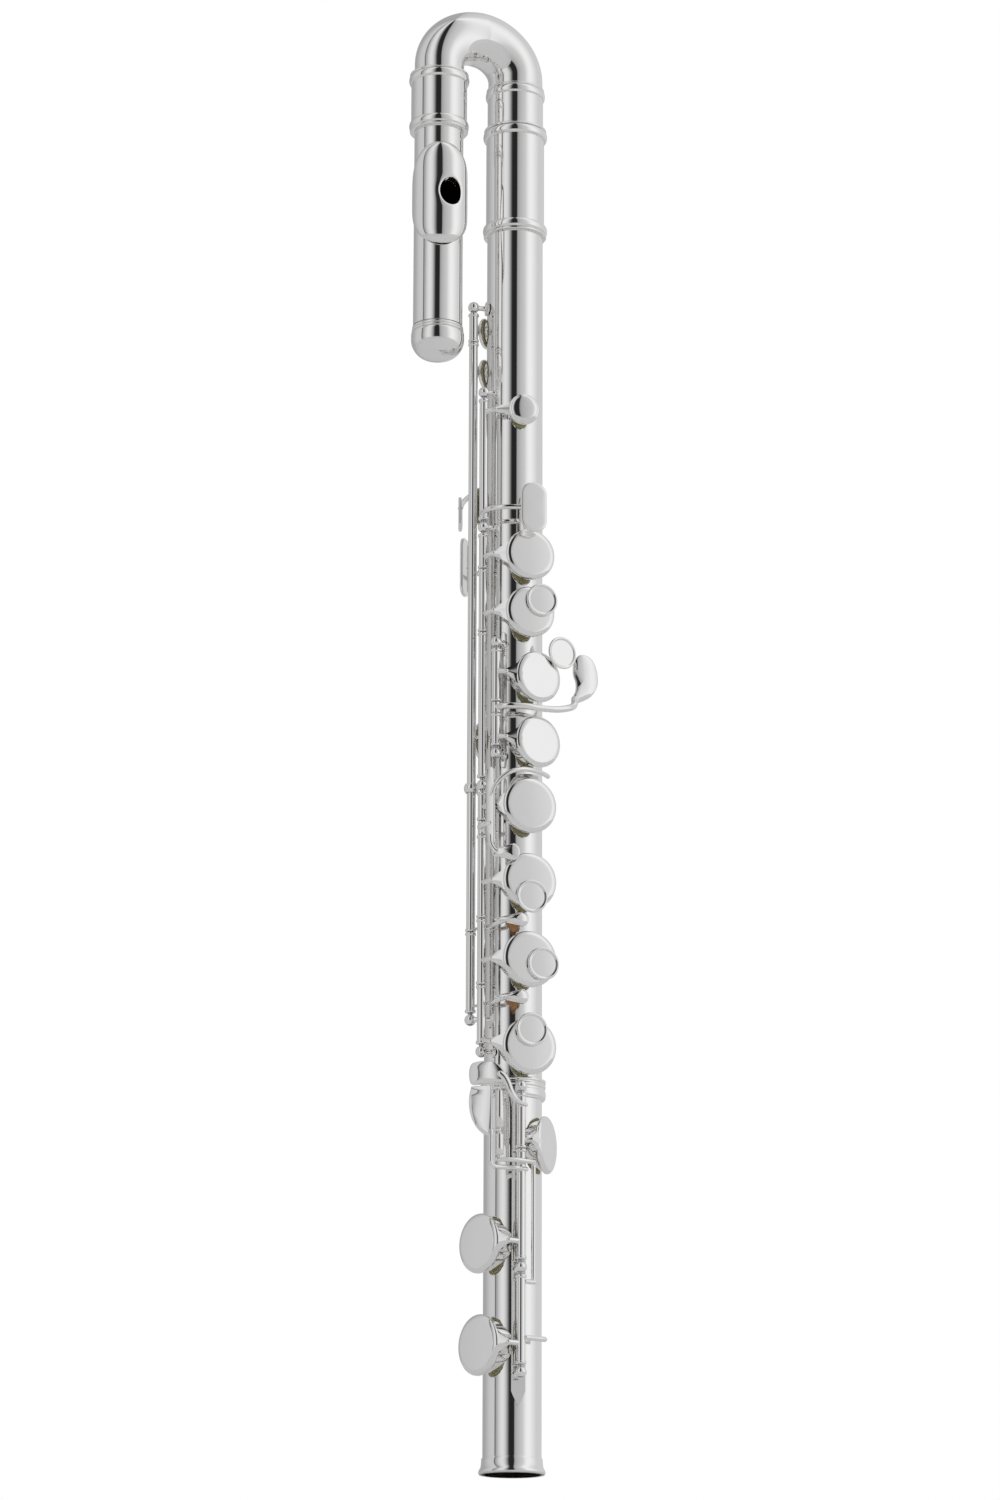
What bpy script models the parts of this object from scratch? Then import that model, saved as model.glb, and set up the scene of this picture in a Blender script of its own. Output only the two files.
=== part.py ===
"""Alto flute with a curved head, built as the assembly that comes apart on a bench.

The frame: +Z runs up the flute from the open foot end, the row of main tone holes faces -Y,
and the rods and the returning head leg lie on the -X side. The origin is the centre of the foot end.
A place round the flute is given by rho, the distance from the tube's axis, and phi, the angle
about that axis from -Y towards -X. Sizes are in millimetres, and MM turns them into metres.
"""

import math

import bmesh
import bpy
from mathutils import Matrix, Vector

MM = 0.001

# Fits
GAP = 0.3                      # clearance between pieces that meet
SEAT = 0.35                    # overlap where two shapes are soldered into one piece
TENON_FIT = 0.35               # room round the head's tenon in the barrel

# Tubes, and the heights of the tone holes, each set off from the hole or the joint below it
TUBE_R = 13.45
WALL = 0.45
BORE_R = TUBE_R - WALL
LOW_C_Z = 57.6
C_SHARP_Z = LOW_C_Z + 46.3
D_SHARP_Z = C_SHARP_Z + 46.4
BODY_FOOT_Z = D_SHARP_Z + 23.0
D_Z = BODY_FOOT_Z + 21.0
E_Z = D_Z + 40.9
F_Z = E_Z + 37.1
F_SHARP_Z = F_Z + 36.1
G_LOWER_Z = F_SHARP_Z + 31.3
G_SHARP_Z = G_LOWER_Z + 5.3
G_UPPER_Z = G_LOWER_Z + 31.6
A_Z = G_UPPER_Z + 31.1
A_SHARP_Z = A_Z + 28.2
THUMB_Z = A_SHARP_Z + 31.4
SMALL_C_Z = A_SHARP_Z + 72.4
TRILL_1_Z = SMALL_C_Z + 25.0
TRILL_2_Z = TRILL_1_Z + 21.0
BODY_TOP_Z = TRILL_2_Z + 52.0

# Foot joint's socket and end ring, and the barrel
SOCKET_R = TUBE_R + 1.8
SOCKET_LOW_Z = BODY_FOOT_Z - 1.8
SOCKET_HIGH_Z = SOCKET_LOW_Z + 9.5
GROOVE_DEPTH = 0.45
END_RING_R = TUBE_R + 1.85
END_RING_HEIGHT = 7.5
BARREL_R = TUBE_R + 0.65
BARREL_RING_R = BARREL_R + 1.5
BARREL_LOW_Z = BODY_TOP_Z - 5.0
BARREL_HIGH_Z = BARREL_LOW_Z + 56.0
BARREL_RING_HEIGHT = 5.8

# Curved head
TENON_R = TUBE_R - 0.2
TENON_DEPTH = 44.0             # length of tenon inside the barrel
HEAD_SLEEVE_R = TENON_R + 0.3
HEAD_RING_R = HEAD_SLEEVE_R + 0.95
HEAD_RING_LOW_Z = BARREL_HIGH_Z + 15.7
HEAD_RING_HIGH_Z = HEAD_RING_LOW_Z + 5.3
HEAD_SEAT_DEPTH = 2.0          # how far the crook goes into the tenon
CROOK_BEND_R = 21.25           # radius of the crook's centre line
CROOK_CENTRE_Z = HEAD_RING_HIGH_Z + 4.0
LEG_X = -2 * CROOK_BEND_R
LEG_R = 11.85
CROOK_START_R = TENON_R
CROOK_END_R = LEG_R + 0.15
LEG_SLEEVE_R = CROOK_END_R + 1.55
LEG_UPPER_RING_R = LEG_SLEEVE_R + 1.1
LEG_LOWER_RING_R = LEG_SLEEVE_R + 0.9
LEG_SLEEVE_HIGH_Z = CROOK_CENTRE_Z - 4.5
LEG_SLEEVE_LOW_Z = LEG_SLEEVE_HIGH_Z - 30.2
LEG_RING_HEIGHT = 5.2
LEG_SEAT_DEPTH = 5.0           # how far the crook goes into the leg sleeve
LEG_TOP_Z = LEG_SLEEVE_HIGH_Z - 8.0
BLOW_HOLE_Z = LEG_TOP_Z - 57.5
LEG_LOW_Z = BLOW_HOLE_Z - 63.7
BLOW_HOLE_PHI = 6.5
BLOW_HOLE_WIDTH = 11.4
BLOW_HOLE_LENGTH = 13.8
LIP_PLATE_LENGTH = 52.0
LIP_PLATE_SPAN = 152.0         # degrees round the leg
LIP_PLATE_TOP_R = LEG_R + 4.85
LIP_PLATE_THICKNESS = 1.1
RISER_WALL = 0.9
CROWN_R = LEG_R + 0.85
CROWN_HEIGHT = 16.5
CROWN_FLOOR = 4.5              # solid bottom of the crown, under its blind bore
CROWN_SPIGOT = 6.0             # length of the crown inside the leg
CORK_R = LEG_R - WALL - 0.35
CORK_LENGTH = 13.0
CORK_HIGH_Z = BLOW_HOLE_Z - 24.0
STOPPER_PLATE = 1.2
STOPPER_SCREW_R = 1.5
STOPPER_TRAVEL = 2.5           # room under the screw in the crown's bore

# Tone holes
RIM = TUBE_R + 1.35            # flat top of a large tone hole, from the tube's axis
SMALL_RIM = TUBE_R + 0.3
CHIMNEY_WALL = 0.6
HOLE_INSET = 2.4               # how much smaller than its cup a hole is

# Key cups, as heights above the rim of the hole they close
PAD_LIFT = 0.3
CUP_LIFT = 0.75
RECESS_LIFT = 2.45
CUP_HEIGHT = 3.25
CUP_WALL = 0.5
OPEN_ANGLE = 8.5               # degrees that an open key stands off its hole
BUTTON_R = 7.8

# Rods, hinge tubes and posts
ROD_R = 1.1
HINGE_R = 2.1
HINGE_BORE_R = 1.4
BALL_R = 2.7
NECK_R = 1.25
ARM_FLARE = 6.4                # half the width of an arm where it meets its cup
SHORTEST_NECK = 3.9
STRAP_LOW = TUBE_R + GAP
STRAP_HIGH = STRAP_LOW + 0.9
POST_ROOM = BALL_R + 0.6       # from the middle of a post to the end of the hinge tube beside it
ROD_END = BALL_R - 0.1         # from the middle of the last post to the rod's end

MAIN_ROD = (TUBE_R + 6.05, 78.2)    # rho and phi of each rod
TRILL_ROD = (TUBE_R + 7.25, 103.0)
G_ROD = (TUBE_R + 6.05, 55.0)
THUMB_ROD = (TUBE_R + 6.05, 192.0)
FOOT_ROD = (TUBE_R + 6.55, 18.5)

MAIN_POSTS = (SMALL_C_Z + 9.9, A_SHARP_Z + 14.8, F_SHARP_Z + 10.8, D_Z - 1.8)
TRILL_TOP_POST_Z, TRILL_BRIDGE_Z, TRILL_LOW_POST_Z = TRILL_2_Z + 9.5, MAIN_POSTS[2], D_Z + 14.3
G_POSTS = (G_UPPER_Z + 16.2, G_LOWER_Z - 6.2)
THUMB_POSTS = (THUMB_Z + 23.0, THUMB_Z - 52.0)
FOOT_POSTS = (BODY_FOOT_Z + 2.0, C_SHARP_Z - 11.9, LOW_C_Z - 13.1)

# Cups: radius, and angle round the tube where it isn't 0
UPPER_CUP_R = 12.25
LOWER_CUP_R = 13.2
G_PHI = -12.0
SMALL_C_PHI, SMALL_C_R = 11.0, 7.5
BACK_PHI, BACK_CUP_R = 145.0, 9.5
TRILL_PHI, TRILL_CUP_R = 139.5, 7.5
D_SHARP_PHI, D_SHARP_R = -42.0, 13.35
C_SHARP_PHI, C_SHARP_R = 87.0, 13.7
LOW_C_PHI, LOW_C_R = 88.0, 13.95

# Heights of touches, and of the places where one hinge tube ends and the next begins
TRILL_1_TOUCH_Z, TRILL_2_TOUCH_Z = E_Z + 18.3, E_Z - 18.2
G_LEVER_Z, G_LEVER_WIDTH = G_UPPER_Z - 15.8, 5.4
D_TO_E_Z, E_TO_F_Z = E_Z - 11.4, E_Z + 20.0
F_TO_LEVER_Z, LEVER_TO_F_SHARP_Z = F_Z + 22.9, F_SHARP_Z - 6.6
G_SHARP_TO_A_Z, A_TO_A_SHARP_Z = A_Z - 8.9, A_SHARP_Z - 6.0
TRILL_1_TO_2_Z, LOW_TRILL_END_Z = TRILL_2_Z - 8.6, TRILL_1_TOUCH_Z - 3.3
THUMB_TO_LEVER_Z = THUMB_Z + 5.2
FOOT_TUBES_MEET_Z = D_SHARP_Z - 4.0

# Sides of round shapes
TUBE_SIDES = 24
CUP_SIDES = 16
HOLE_SIDES = 12
HINGE_SIDES = 8
WIRE_SIDES = 6

for leftover in list(bpy.data.objects):
    bpy.data.objects.remove(leftover)

PARTS = bpy.data.collections.new("alto_flute")
WORKSHOP = bpy.data.collections.new("cutters")
bpy.context.scene.collection.children.link(PARTS)
bpy.context.scene.collection.children.link(WORKSHOP)

FINISHES = {
    "silver": ((0.86, 0.86, 0.87), 0.10, 1.0),
    "steel": ((0.48, 0.50, 0.54), 0.25, 1.0),
    "pad": ((0.72, 0.70, 0.36), 0.75, 0.0),
    "cork": ((0.55, 0.27, 0.10), 0.85, 0.0),
}


# Places round the flute

def spot(rho, phi, z):
    """The point at distance rho from the tube's axis, at angle phi, at height z."""
    angle = math.radians(phi)
    return Vector((-rho * math.sin(angle), -rho * math.cos(angle), z))


def seat(phi, z):
    """A frame on the tube's axis with its Z pointing outwards at phi and its Y up the tube."""
    outward = spot(1, phi, 0)
    up = Vector((0, 0, 1))
    across = up.cross(outward)
    frame = Matrix((across, up, outward)).transposed().to_4x4()
    return Matrix.Translation((0, 0, z)) @ frame


def along(start, end):
    """A frame at start with its Z pointing to end."""
    turn = (end - start).to_track_quat("Z", "Y").to_matrix().to_4x4()
    return Matrix.Translation(start) @ turn


def on_leg(place):
    """The same frame moved from the body's axis to the head leg's axis."""
    return Matrix.Translation((LEG_X, 0, 0)) @ place


# Basic shapes, all closed solids

def shape(bm, place=None):
    """Turn a bmesh into a workshop object."""
    if place is not None:
        bmesh.ops.transform(bm, matrix=place, verts=bm.verts)
    bmesh.ops.recalc_face_normals(bm, faces=bm.faces)
    mesh = bpy.data.meshes.new("shape")
    bm.to_mesh(mesh)
    bm.free()
    obj = bpy.data.objects.new("shape", mesh)
    WORKSHOP.objects.link(obj)
    return obj


def applied(obj):
    """Replace an object's mesh by its evaluated one, with doubled points welded."""
    bpy.context.view_layer.update()
    graph = bpy.context.evaluated_depsgraph_get()
    mesh = bpy.data.meshes.new_from_object(obj.evaluated_get(graph))
    bm = bmesh.new()
    bm.from_mesh(mesh)
    bmesh.ops.remove_doubles(bm, verts=bm.verts, dist=MM)
    bmesh.ops.recalc_face_normals(bm, faces=bm.faces)
    bm.to_mesh(mesh)
    bm.free()
    result = bpy.data.objects.new("shape", mesh)
    WORKSHOP.objects.link(result)
    bpy.data.objects.remove(obj)
    return result


def turned(profile, sides, place=None, ring=False):
    """Turn a profile of (radius, height) points, given down its outer side, about Z."""
    mesh = bpy.data.meshes.new("profile")
    last = len(profile) - 1
    edges = [(i, i + 1) for i in range(last)]
    if ring:
        edges.append((last, 0))
    mesh.from_pydata([(r, 0, h) for r, h in profile], edges, [])
    obj = bpy.data.objects.new("profile", mesh)
    WORKSHOP.objects.link(obj)
    screw = obj.modifiers.new("turn", "SCREW")
    screw.steps = screw.render_steps = sides
    screw.use_merge_vertices = True
    screw.merge_threshold = 0.0001
    result = applied(obj)
    if place is not None:
        result.data.transform(place)
    return result


def disc(radius, low, high, sides, place=None):
    """A plain round solid between two heights."""
    bm = bmesh.new()
    middle = Matrix.Translation((0, 0, (low + high) / 2))
    bmesh.ops.create_cone(bm, cap_ends=True, segments=sides, radius1=radius, radius2=radius,
                          depth=high - low, matrix=middle)
    return shape(bm, place)


def bar(start, end, radius, end_radius=None, sides=WIRE_SIDES):
    """A round bar from start to end, tapered if end_radius is given."""
    bm = bmesh.new()
    length = (end - start).length
    bmesh.ops.create_cone(bm, cap_ends=True, segments=sides, radius1=radius,
                          radius2=radius if end_radius is None else end_radius,
                          depth=length, matrix=Matrix.Translation((0, 0, length / 2)))
    return shape(bm, along(start, end))


def pipe(outer, inner, low, high, sides, place=None):
    """A straight tube between two heights."""
    return turned([(outer, high), (outer, low), (inner, low), (inner, high)], sides, place, ring=True)


def wire(points, radius, resolution=1):
    """A round wire through the points, with flat filled ends."""
    curve = bpy.data.curves.new("wire", "CURVE")
    curve.dimensions = "3D"
    curve.bevel_depth = radius
    curve.bevel_resolution = resolution
    curve.use_fill_caps = True
    spline = curve.splines.new("POLY")
    spline.points.add(len(points) - 1)
    for target, point in zip(spline.points, points):
        target.co = (*point, 1)
    obj = bpy.data.objects.new("wire", curve)
    WORKSHOP.objects.link(obj)
    return applied(obj)


def smooth_path(points, steps):
    """Points on a smooth curve through the given ones, steps to each span."""
    padded = [2 * points[0] - points[1], *points, 2 * points[-1] - points[-2]]
    path = []
    for a, b, c, d in zip(padded, padded[1:], padded[2:], padded[3:]):
        for i in range(steps):
            t = i / steps
            path.append(0.5 * (2 * b + (c - a) * t + (2 * a - 5 * b + 4 * c - d) * t * t
                               + (3 * b - a - 3 * c + d) * t ** 3))
    return path + [points[-1]]


def flat_plate(outline, thickness):
    """A flat outline in X and Y, given its thickness about Z."""
    curve = bpy.data.curves.new("outline", "CURVE")
    curve.dimensions = "2D"
    curve.fill_mode = "BOTH"
    curve.extrude = thickness / 2
    spline = curve.splines.new("POLY")
    spline.points.add(len(outline) - 1)
    for target, (x, y) in zip(spline.points, outline):
        target.co = (x, y, 0, 1)
    spline.use_cyclic_u = True
    obj = bpy.data.objects.new("outline", curve)
    WORKSHOP.objects.link(obj)
    return applied(obj)


def bent_plate(outline, thickness, rho, phi, z, slices=3):
    """A flat plate bent round the tube: outline X runs towards larger phi, Y up the tube."""
    obj = flat_plate(outline, thickness)
    bm = bmesh.new()
    bm.from_mesh(obj.data)
    low = min(v.co.x for v in bm.verts)
    high = max(v.co.x for v in bm.verts)
    for i in range(1, slices):
        cut_x = low + (high - low) * i / slices
        everything = bm.verts[:] + bm.edges[:] + bm.faces[:]
        bmesh.ops.bisect_plane(bm, geom=everything, plane_co=(cut_x, 0, 0), plane_no=(1, 0, 0))
    for v in bm.verts:
        angle = phi + math.degrees(v.co.x / rho)
        v.co = spot(rho + v.co.z, angle, z + v.co.y)
    bpy.data.objects.remove(obj)
    return shape(bm)


def loft(sections):
    """A solid through rings of points that have the same count."""
    bm = bmesh.new()
    rings = [[bm.verts.new(p) for p in section] for section in sections]
    count = len(rings[0])
    for near, far in zip(rings, rings[1:]):
        for i in range(count):
            j = (i + 1) % count
            bm.faces.new((near[i], near[j], far[j], far[i]))
    bm.faces.new(rings[0])
    bm.faces.new(rings[-1])
    return shape(bm)


# Outlines

def oval(width, height, points=12):
    turns = [2 * math.pi * i / points for i in range(points)]
    return [(width / 2 * math.cos(a), height / 2 * math.sin(a)) for a in turns]


def slot_outline(width, height, points=3):
    """A rectangle in X and Y whose short ends are half circles."""
    r = min(width, height) / 2
    outline = []
    for centre, start in ((1, -90), (-1, 90)):
        for i in range(points + 1):
            a = math.radians(start + 180 * i / points)
            x, y = r * math.cos(a), r * math.sin(a)
            if width >= height:
                outline.append((centre * (width / 2 - r) + x, y))
            else:
                outline.append((-y, centre * (height / 2 - r) + x))
    return outline


def teardrop(length, wide_r, narrow_r, points=6):
    """A drop along X, its wide end at +X."""
    wide_x = length / 2 - wide_r
    narrow_x = narrow_r - length / 2
    lean = math.degrees(math.acos((wide_r - narrow_r) / (wide_x - narrow_x)))
    outline = []
    for i in range(points + 1):
        a = math.radians(-lean + 2 * lean * i / points)
        outline.append((wide_x + wide_r * math.cos(a), wide_r * math.sin(a)))
    for i in range(3):
        a = math.radians(lean + (360 - 2 * lean) * i / 2)
        outline.append((narrow_x + narrow_r * math.cos(a), narrow_r * math.sin(a)))
    return outline


# Joining and cutting

def boolean(target, other, operation):
    """Union or difference of two solids; both give way to the result."""
    modifier = target.modifiers.new(operation.lower(), "BOOLEAN")
    modifier.operation = operation
    modifier.object = other
    result = applied(target)
    bpy.data.objects.remove(other)
    return result


def fused(solids):
    """All the solids soldered into one."""
    result = solids[0]
    for other in solids[1:]:
        result = boolean(result, other, "UNION")
    return result


def trimmed(target, cutters):
    for cutter in cutters:
        target = boolean(target, cutter, "DIFFERENCE")
    return target


# Finished parts

def part(name, solid, finish, pivot=None, turn=0.0, carrier=None):
    """Name a solid, give it its material, and set its origin on its joint's axis.

    turn is the angle in degrees about Z at which it rests, from the closed place it was made in.
    """
    origin = Vector(pivot) if pivot is not None else Vector((0, 0, 0))
    mesh = solid.data
    mesh.transform(Matrix.Scale(MM, 4) @ Matrix.Translation(-origin))
    colour, roughness, metallic = FINISHES[finish]
    material = bpy.data.materials.new(f"{name}_{finish}")
    material.use_nodes = True
    shader = material.node_tree.nodes["Principled BSDF"]
    shader.inputs["Base Color"].default_value = (*colour, 1)
    shader.inputs["Roughness"].default_value = roughness
    shader.inputs["Metallic"].default_value = metallic
    mesh.materials.clear()
    mesh.materials.append(material)
    mesh.shade_smooth()
    mesh.set_sharp_from_angle(angle=math.radians(35))
    obj = bpy.data.objects.new(name, mesh)
    PARTS.objects.link(obj)
    bpy.data.objects.remove(solid)
    if carrier is None:
        obj.location = origin * MM
        obj.rotation_euler.z = math.radians(turn)
    else:
        obj.parent = carrier
    return obj


# Body, foot and barrel

TONE_HOLES = [
    (A_SHARP_Z, 0.0, UPPER_CUP_R - HOLE_INSET, RIM),
    (A_Z, 0.0, UPPER_CUP_R - HOLE_INSET, RIM),
    (G_UPPER_Z, G_PHI, UPPER_CUP_R - HOLE_INSET, RIM),
    (G_LOWER_Z, G_PHI, UPPER_CUP_R - HOLE_INSET, RIM),
    (F_SHARP_Z, 0.0, LOWER_CUP_R - HOLE_INSET, RIM),
    (F_Z, 0.0, LOWER_CUP_R - HOLE_INSET, RIM),
    (E_Z, 0.0, LOWER_CUP_R - HOLE_INSET, RIM),
    (D_Z, 0.0, LOWER_CUP_R - HOLE_INSET, RIM),
    (SMALL_C_Z, SMALL_C_PHI, SMALL_C_R - HOLE_INSET, SMALL_RIM),
    (THUMB_Z, BACK_PHI, BACK_CUP_R - HOLE_INSET, RIM),
    (G_SHARP_Z, BACK_PHI, BACK_CUP_R - HOLE_INSET, RIM),
    (TRILL_1_Z, TRILL_PHI, TRILL_CUP_R - HOLE_INSET, SMALL_RIM),
    (TRILL_2_Z, TRILL_PHI, TRILL_CUP_R - HOLE_INSET, SMALL_RIM),
]
FOOT_HOLES = [
    (D_SHARP_Z, D_SHARP_PHI, D_SHARP_R - HOLE_INSET, RIM),
    (C_SHARP_Z, C_SHARP_PHI, C_SHARP_R - HOLE_INSET, RIM),
    (LOW_C_Z, LOW_C_PHI, LOW_C_R - HOLE_INSET, RIM),
]


def tube_with_holes(outside, bore, holes):
    """A solid outside given drawn tone holes, then bored through."""
    chimneys = [disc(r + CHIMNEY_WALL, r * 0.45, rim, HOLE_SIDES, seat(phi, z)) for z, phi, r, rim in holes]
    openings = [disc(r, 1.0, rim + 2, HOLE_SIDES, seat(phi, z)) for z, phi, r, rim in holes]
    return trimmed(fused([outside, *chimneys]), [bore, *openings])


def make_body_tube():
    outside = disc(TUBE_R, BODY_FOOT_Z, BODY_TOP_Z, TUBE_SIDES)
    bore = disc(BORE_R, BODY_FOOT_Z - 1, BODY_TOP_Z + 1, TUBE_SIDES)
    return tube_with_holes(outside, bore, TONE_HOLES)


def make_foot_tube():
    """The foot joint's tube with the grooved socket that takes the body, and the post soldered to the socket."""
    groove_r = SOCKET_R - GROOVE_DEPTH
    groove = 1.1
    land = 1.6
    middle = (SOCKET_LOW_Z + SOCKET_HIGH_Z) / 2
    past = 1.0
    profile = [(0, SOCKET_HIGH_Z), (SOCKET_R, SOCKET_HIGH_Z)]
    for centre in (middle + land, middle - land):
        profile += [(SOCKET_R, centre + groove / 2), (groove_r, centre + groove / 2),
                    (groove_r, centre - groove / 2), (SOCKET_R, centre - groove / 2)]
    profile += [(SOCKET_R, SOCKET_LOW_Z), (TUBE_R, SOCKET_LOW_Z), (TUBE_R, 0), (0, 0)]
    shoulder_z = BODY_FOOT_Z - GAP
    bore = turned([(0, SOCKET_HIGH_Z + past), (TUBE_R + GAP, SOCKET_HIGH_Z + past), (TUBE_R + GAP, shoulder_z),
                   (BORE_R, shoulder_z), (BORE_R, -past), (0, -past)], TUBE_SIDES)
    tube = tube_with_holes(turned(profile, TUBE_SIDES), bore, FOOT_HOLES)
    return fused([tube, post(FOOT_ROD, FOOT_POSTS[0], FOOT_ROD[1], base_rho=SOCKET_R - SEAT)])


def make_end_ring():
    """The ring on the foot's open end, flaring in a hollow curve to a rounded lip."""
    inner = TUBE_R + GAP
    wall = 0.4
    lip = 0.9
    waist = END_RING_R - 0.7
    return turned([(inner + wall, END_RING_HEIGHT), (inner + wall + 0.1, END_RING_HEIGHT * 0.66),
                   (waist, END_RING_HEIGHT * 0.42), (END_RING_R, 2 * lip), (END_RING_R, lip),
                   (END_RING_R - 0.4, 0), (inner, 0), (inner, END_RING_HEIGHT)], TUBE_SIDES, ring=True)


def ring_band(low, high, radius, rest_radius):
    """The outline of a raised ring on a turned piece, top to bottom."""
    edge = 0.5
    return [(rest_radius, high), (radius, high - edge), (radius, low + edge), (rest_radius, low)]


def make_barrel():
    bore_r = TENON_R + TENON_FIT
    body_r = TUBE_R + GAP
    step_z = BODY_TOP_Z + GAP
    upper = ring_band(BARREL_HIGH_Z - BARREL_RING_HEIGHT, BARREL_HIGH_Z, BARREL_RING_R, BARREL_R)
    lower = ring_band(BARREL_LOW_Z, BARREL_LOW_Z + BARREL_RING_HEIGHT, BARREL_RING_R, BARREL_R)
    inside = [(body_r, BARREL_LOW_Z), (body_r, step_z), (bore_r, step_z), (bore_r, BARREL_HIGH_Z)]
    return turned(upper + lower + inside, TUBE_SIDES, ring=True)


# Head

def make_head_tenon():
    bore_r = TENON_R - WALL
    sleeve_low = BARREL_HIGH_Z + GAP
    foot_z = BARREL_HIGH_Z - TENON_DEPTH
    seat_z = HEAD_RING_HIGH_Z - HEAD_SEAT_DEPTH
    top_ring = ring_band(HEAD_RING_LOW_Z, HEAD_RING_HIGH_Z, HEAD_RING_R, HEAD_SLEEVE_R)
    outer = top_ring[1:] + [(HEAD_SLEEVE_R, sleeve_low), (TENON_R, sleeve_low), (TENON_R, foot_z)]
    inner = [(bore_r, foot_z), (bore_r, seat_z), (CROOK_START_R + GAP, seat_z),
             (CROOK_START_R + GAP, HEAD_RING_HIGH_Z)]
    return turned(outer + inner, TUBE_SIDES, ring=True)


def make_crook():
    """The tapering U bend: a tube whose radius shrinks along the bend, then given its wall."""
    start_z = HEAD_RING_HIGH_Z - HEAD_SEAT_DEPTH + GAP
    end_z = LEG_SLEEVE_HIGH_Z - LEG_SEAT_DEPTH
    bends = 10
    places = [(0.0, start_z)]
    for i in range(bends + 1):
        a = math.pi * i / bends
        places.append((-CROOK_BEND_R + CROOK_BEND_R * math.cos(a), CROOK_CENTRE_Z + CROOK_BEND_R * math.sin(a)))
    places.append((LEG_X, end_z))
    curve = bpy.data.curves.new("crook", "CURVE")
    curve.dimensions = "3D"
    curve.bevel_depth = 1.0
    curve.bevel_resolution = 8
    spline = curve.splines.new("POLY")
    spline.points.add(len(places) - 1)
    for i, (x, z) in enumerate(places):
        share = min(max((i - 1) / bends, 0.0), 1.0)
        spline.points[i].co = (x, 0, z, 1)
        spline.points[i].radius = CROOK_START_R + (CROOK_END_R - CROOK_START_R) * share
    obj = bpy.data.objects.new("crook", curve)
    WORKSHOP.objects.link(obj)
    sheet = applied(obj)
    shell = sheet.modifiers.new("wall", "SOLIDIFY")
    shell.thickness = WALL
    shell.offset = -1
    return applied(sheet)


def make_leg_sleeve():
    upper = ring_band(LEG_SLEEVE_HIGH_Z - LEG_RING_HEIGHT, LEG_SLEEVE_HIGH_Z, LEG_UPPER_RING_R, LEG_SLEEVE_R)
    lower = ring_band(LEG_SLEEVE_LOW_Z, LEG_SLEEVE_LOW_Z + LEG_RING_HEIGHT, LEG_LOWER_RING_R, LEG_SLEEVE_R)
    step_z = LEG_TOP_Z + GAP
    inside = [(LEG_R + GAP, LEG_SLEEVE_LOW_Z), (LEG_R + GAP, step_z), (CROOK_END_R + GAP, step_z),
              (CROOK_END_R + GAP, LEG_SLEEVE_HIGH_Z)]
    return turned(upper[1:] + lower[:-1] + inside, TUBE_SIDES, on_leg(Matrix()), ring=True)


def blow_hole_cutter(low, high, grow=0.0):
    outline = oval(BLOW_HOLE_WIDTH + 2 * grow, BLOW_HOLE_LENGTH + 2 * grow, HOLE_SIDES)
    cutter = flat_plate(outline, high - low)
    middle = Matrix.Translation((0, 0, (low + high) / 2))
    cutter.data.transform(on_leg(seat(BLOW_HOLE_PHI, BLOW_HOLE_Z)) @ middle)
    return cutter


def make_embouchure_tube():
    tube = pipe(LEG_R, LEG_R - WALL, LEG_LOW_Z, LEG_TOP_Z, TUBE_SIDES, on_leg(Matrix()))
    return trimmed(tube, [blow_hole_cutter(LEG_R / 2, LIP_PLATE_TOP_R * 1.2)])


def make_lip_plate():
    """An oval saddle round the leg, carried on the riser that is soldered under its hole."""
    bm = bmesh.new()
    cells = 10
    bmesh.ops.create_grid(bm, x_segments=cells, y_segments=cells, size=1)
    edge_r = LEG_R + GAP + LIP_PLATE_THICKNESS
    for v in bm.verts:
        u, w = v.co.x, v.co.y
        across = u * math.sqrt(1 - w * w / 2)
        lengthwise = w * math.sqrt(1 - u * u / 2)
        fall = across * across + 0.55 * lengthwise * lengthwise * (1 - across * across)
        rho = edge_r + (LIP_PLATE_TOP_R - edge_r) * (1 - fall)
        phi = BLOW_HOLE_PHI - LIP_PLATE_SPAN / 2 * across
        v.co = spot(rho, phi, BLOW_HOLE_Z + LIP_PLATE_LENGTH / 2 * lengthwise)
        v.co.x += LEG_X
    middle = Vector((LEG_X, 0, BLOW_HOLE_Z))
    bmesh.ops.recalc_face_normals(bm, faces=bm.faces)
    bm.faces.ensure_lookup_table()
    first = bm.faces[0]
    if first.normal.dot(first.calc_center_median() - middle) < 0:
        bmesh.ops.reverse_faces(bm, faces=bm.faces)
    mesh = bpy.data.meshes.new("plate")
    bm.to_mesh(mesh)
    bm.free()
    sheet = bpy.data.objects.new("plate", mesh)
    WORKSHOP.objects.link(sheet)
    shell = sheet.modifiers.new("thickness", "SOLIDIFY")
    shell.thickness = LIP_PLATE_THICKNESS
    shell.offset = -1
    plate = applied(sheet)
    riser = blow_hole_cutter(LEG_R - 2.0, LIP_PLATE_TOP_R - LIP_PLATE_THICKNESS / 2, grow=RISER_WALL)
    tube_room = disc(LEG_R + GAP, BLOW_HOLE_Z - LIP_PLATE_LENGTH / 2, BLOW_HOLE_Z + LIP_PLATE_LENGTH / 2,
                     TUBE_SIDES, on_leg(Matrix()))
    riser = trimmed(riser, [tube_room])
    return trimmed(fused([plate, riser]), [blow_hole_cutter(LEG_R / 2, LIP_PLATE_TOP_R * 1.2)])


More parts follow.
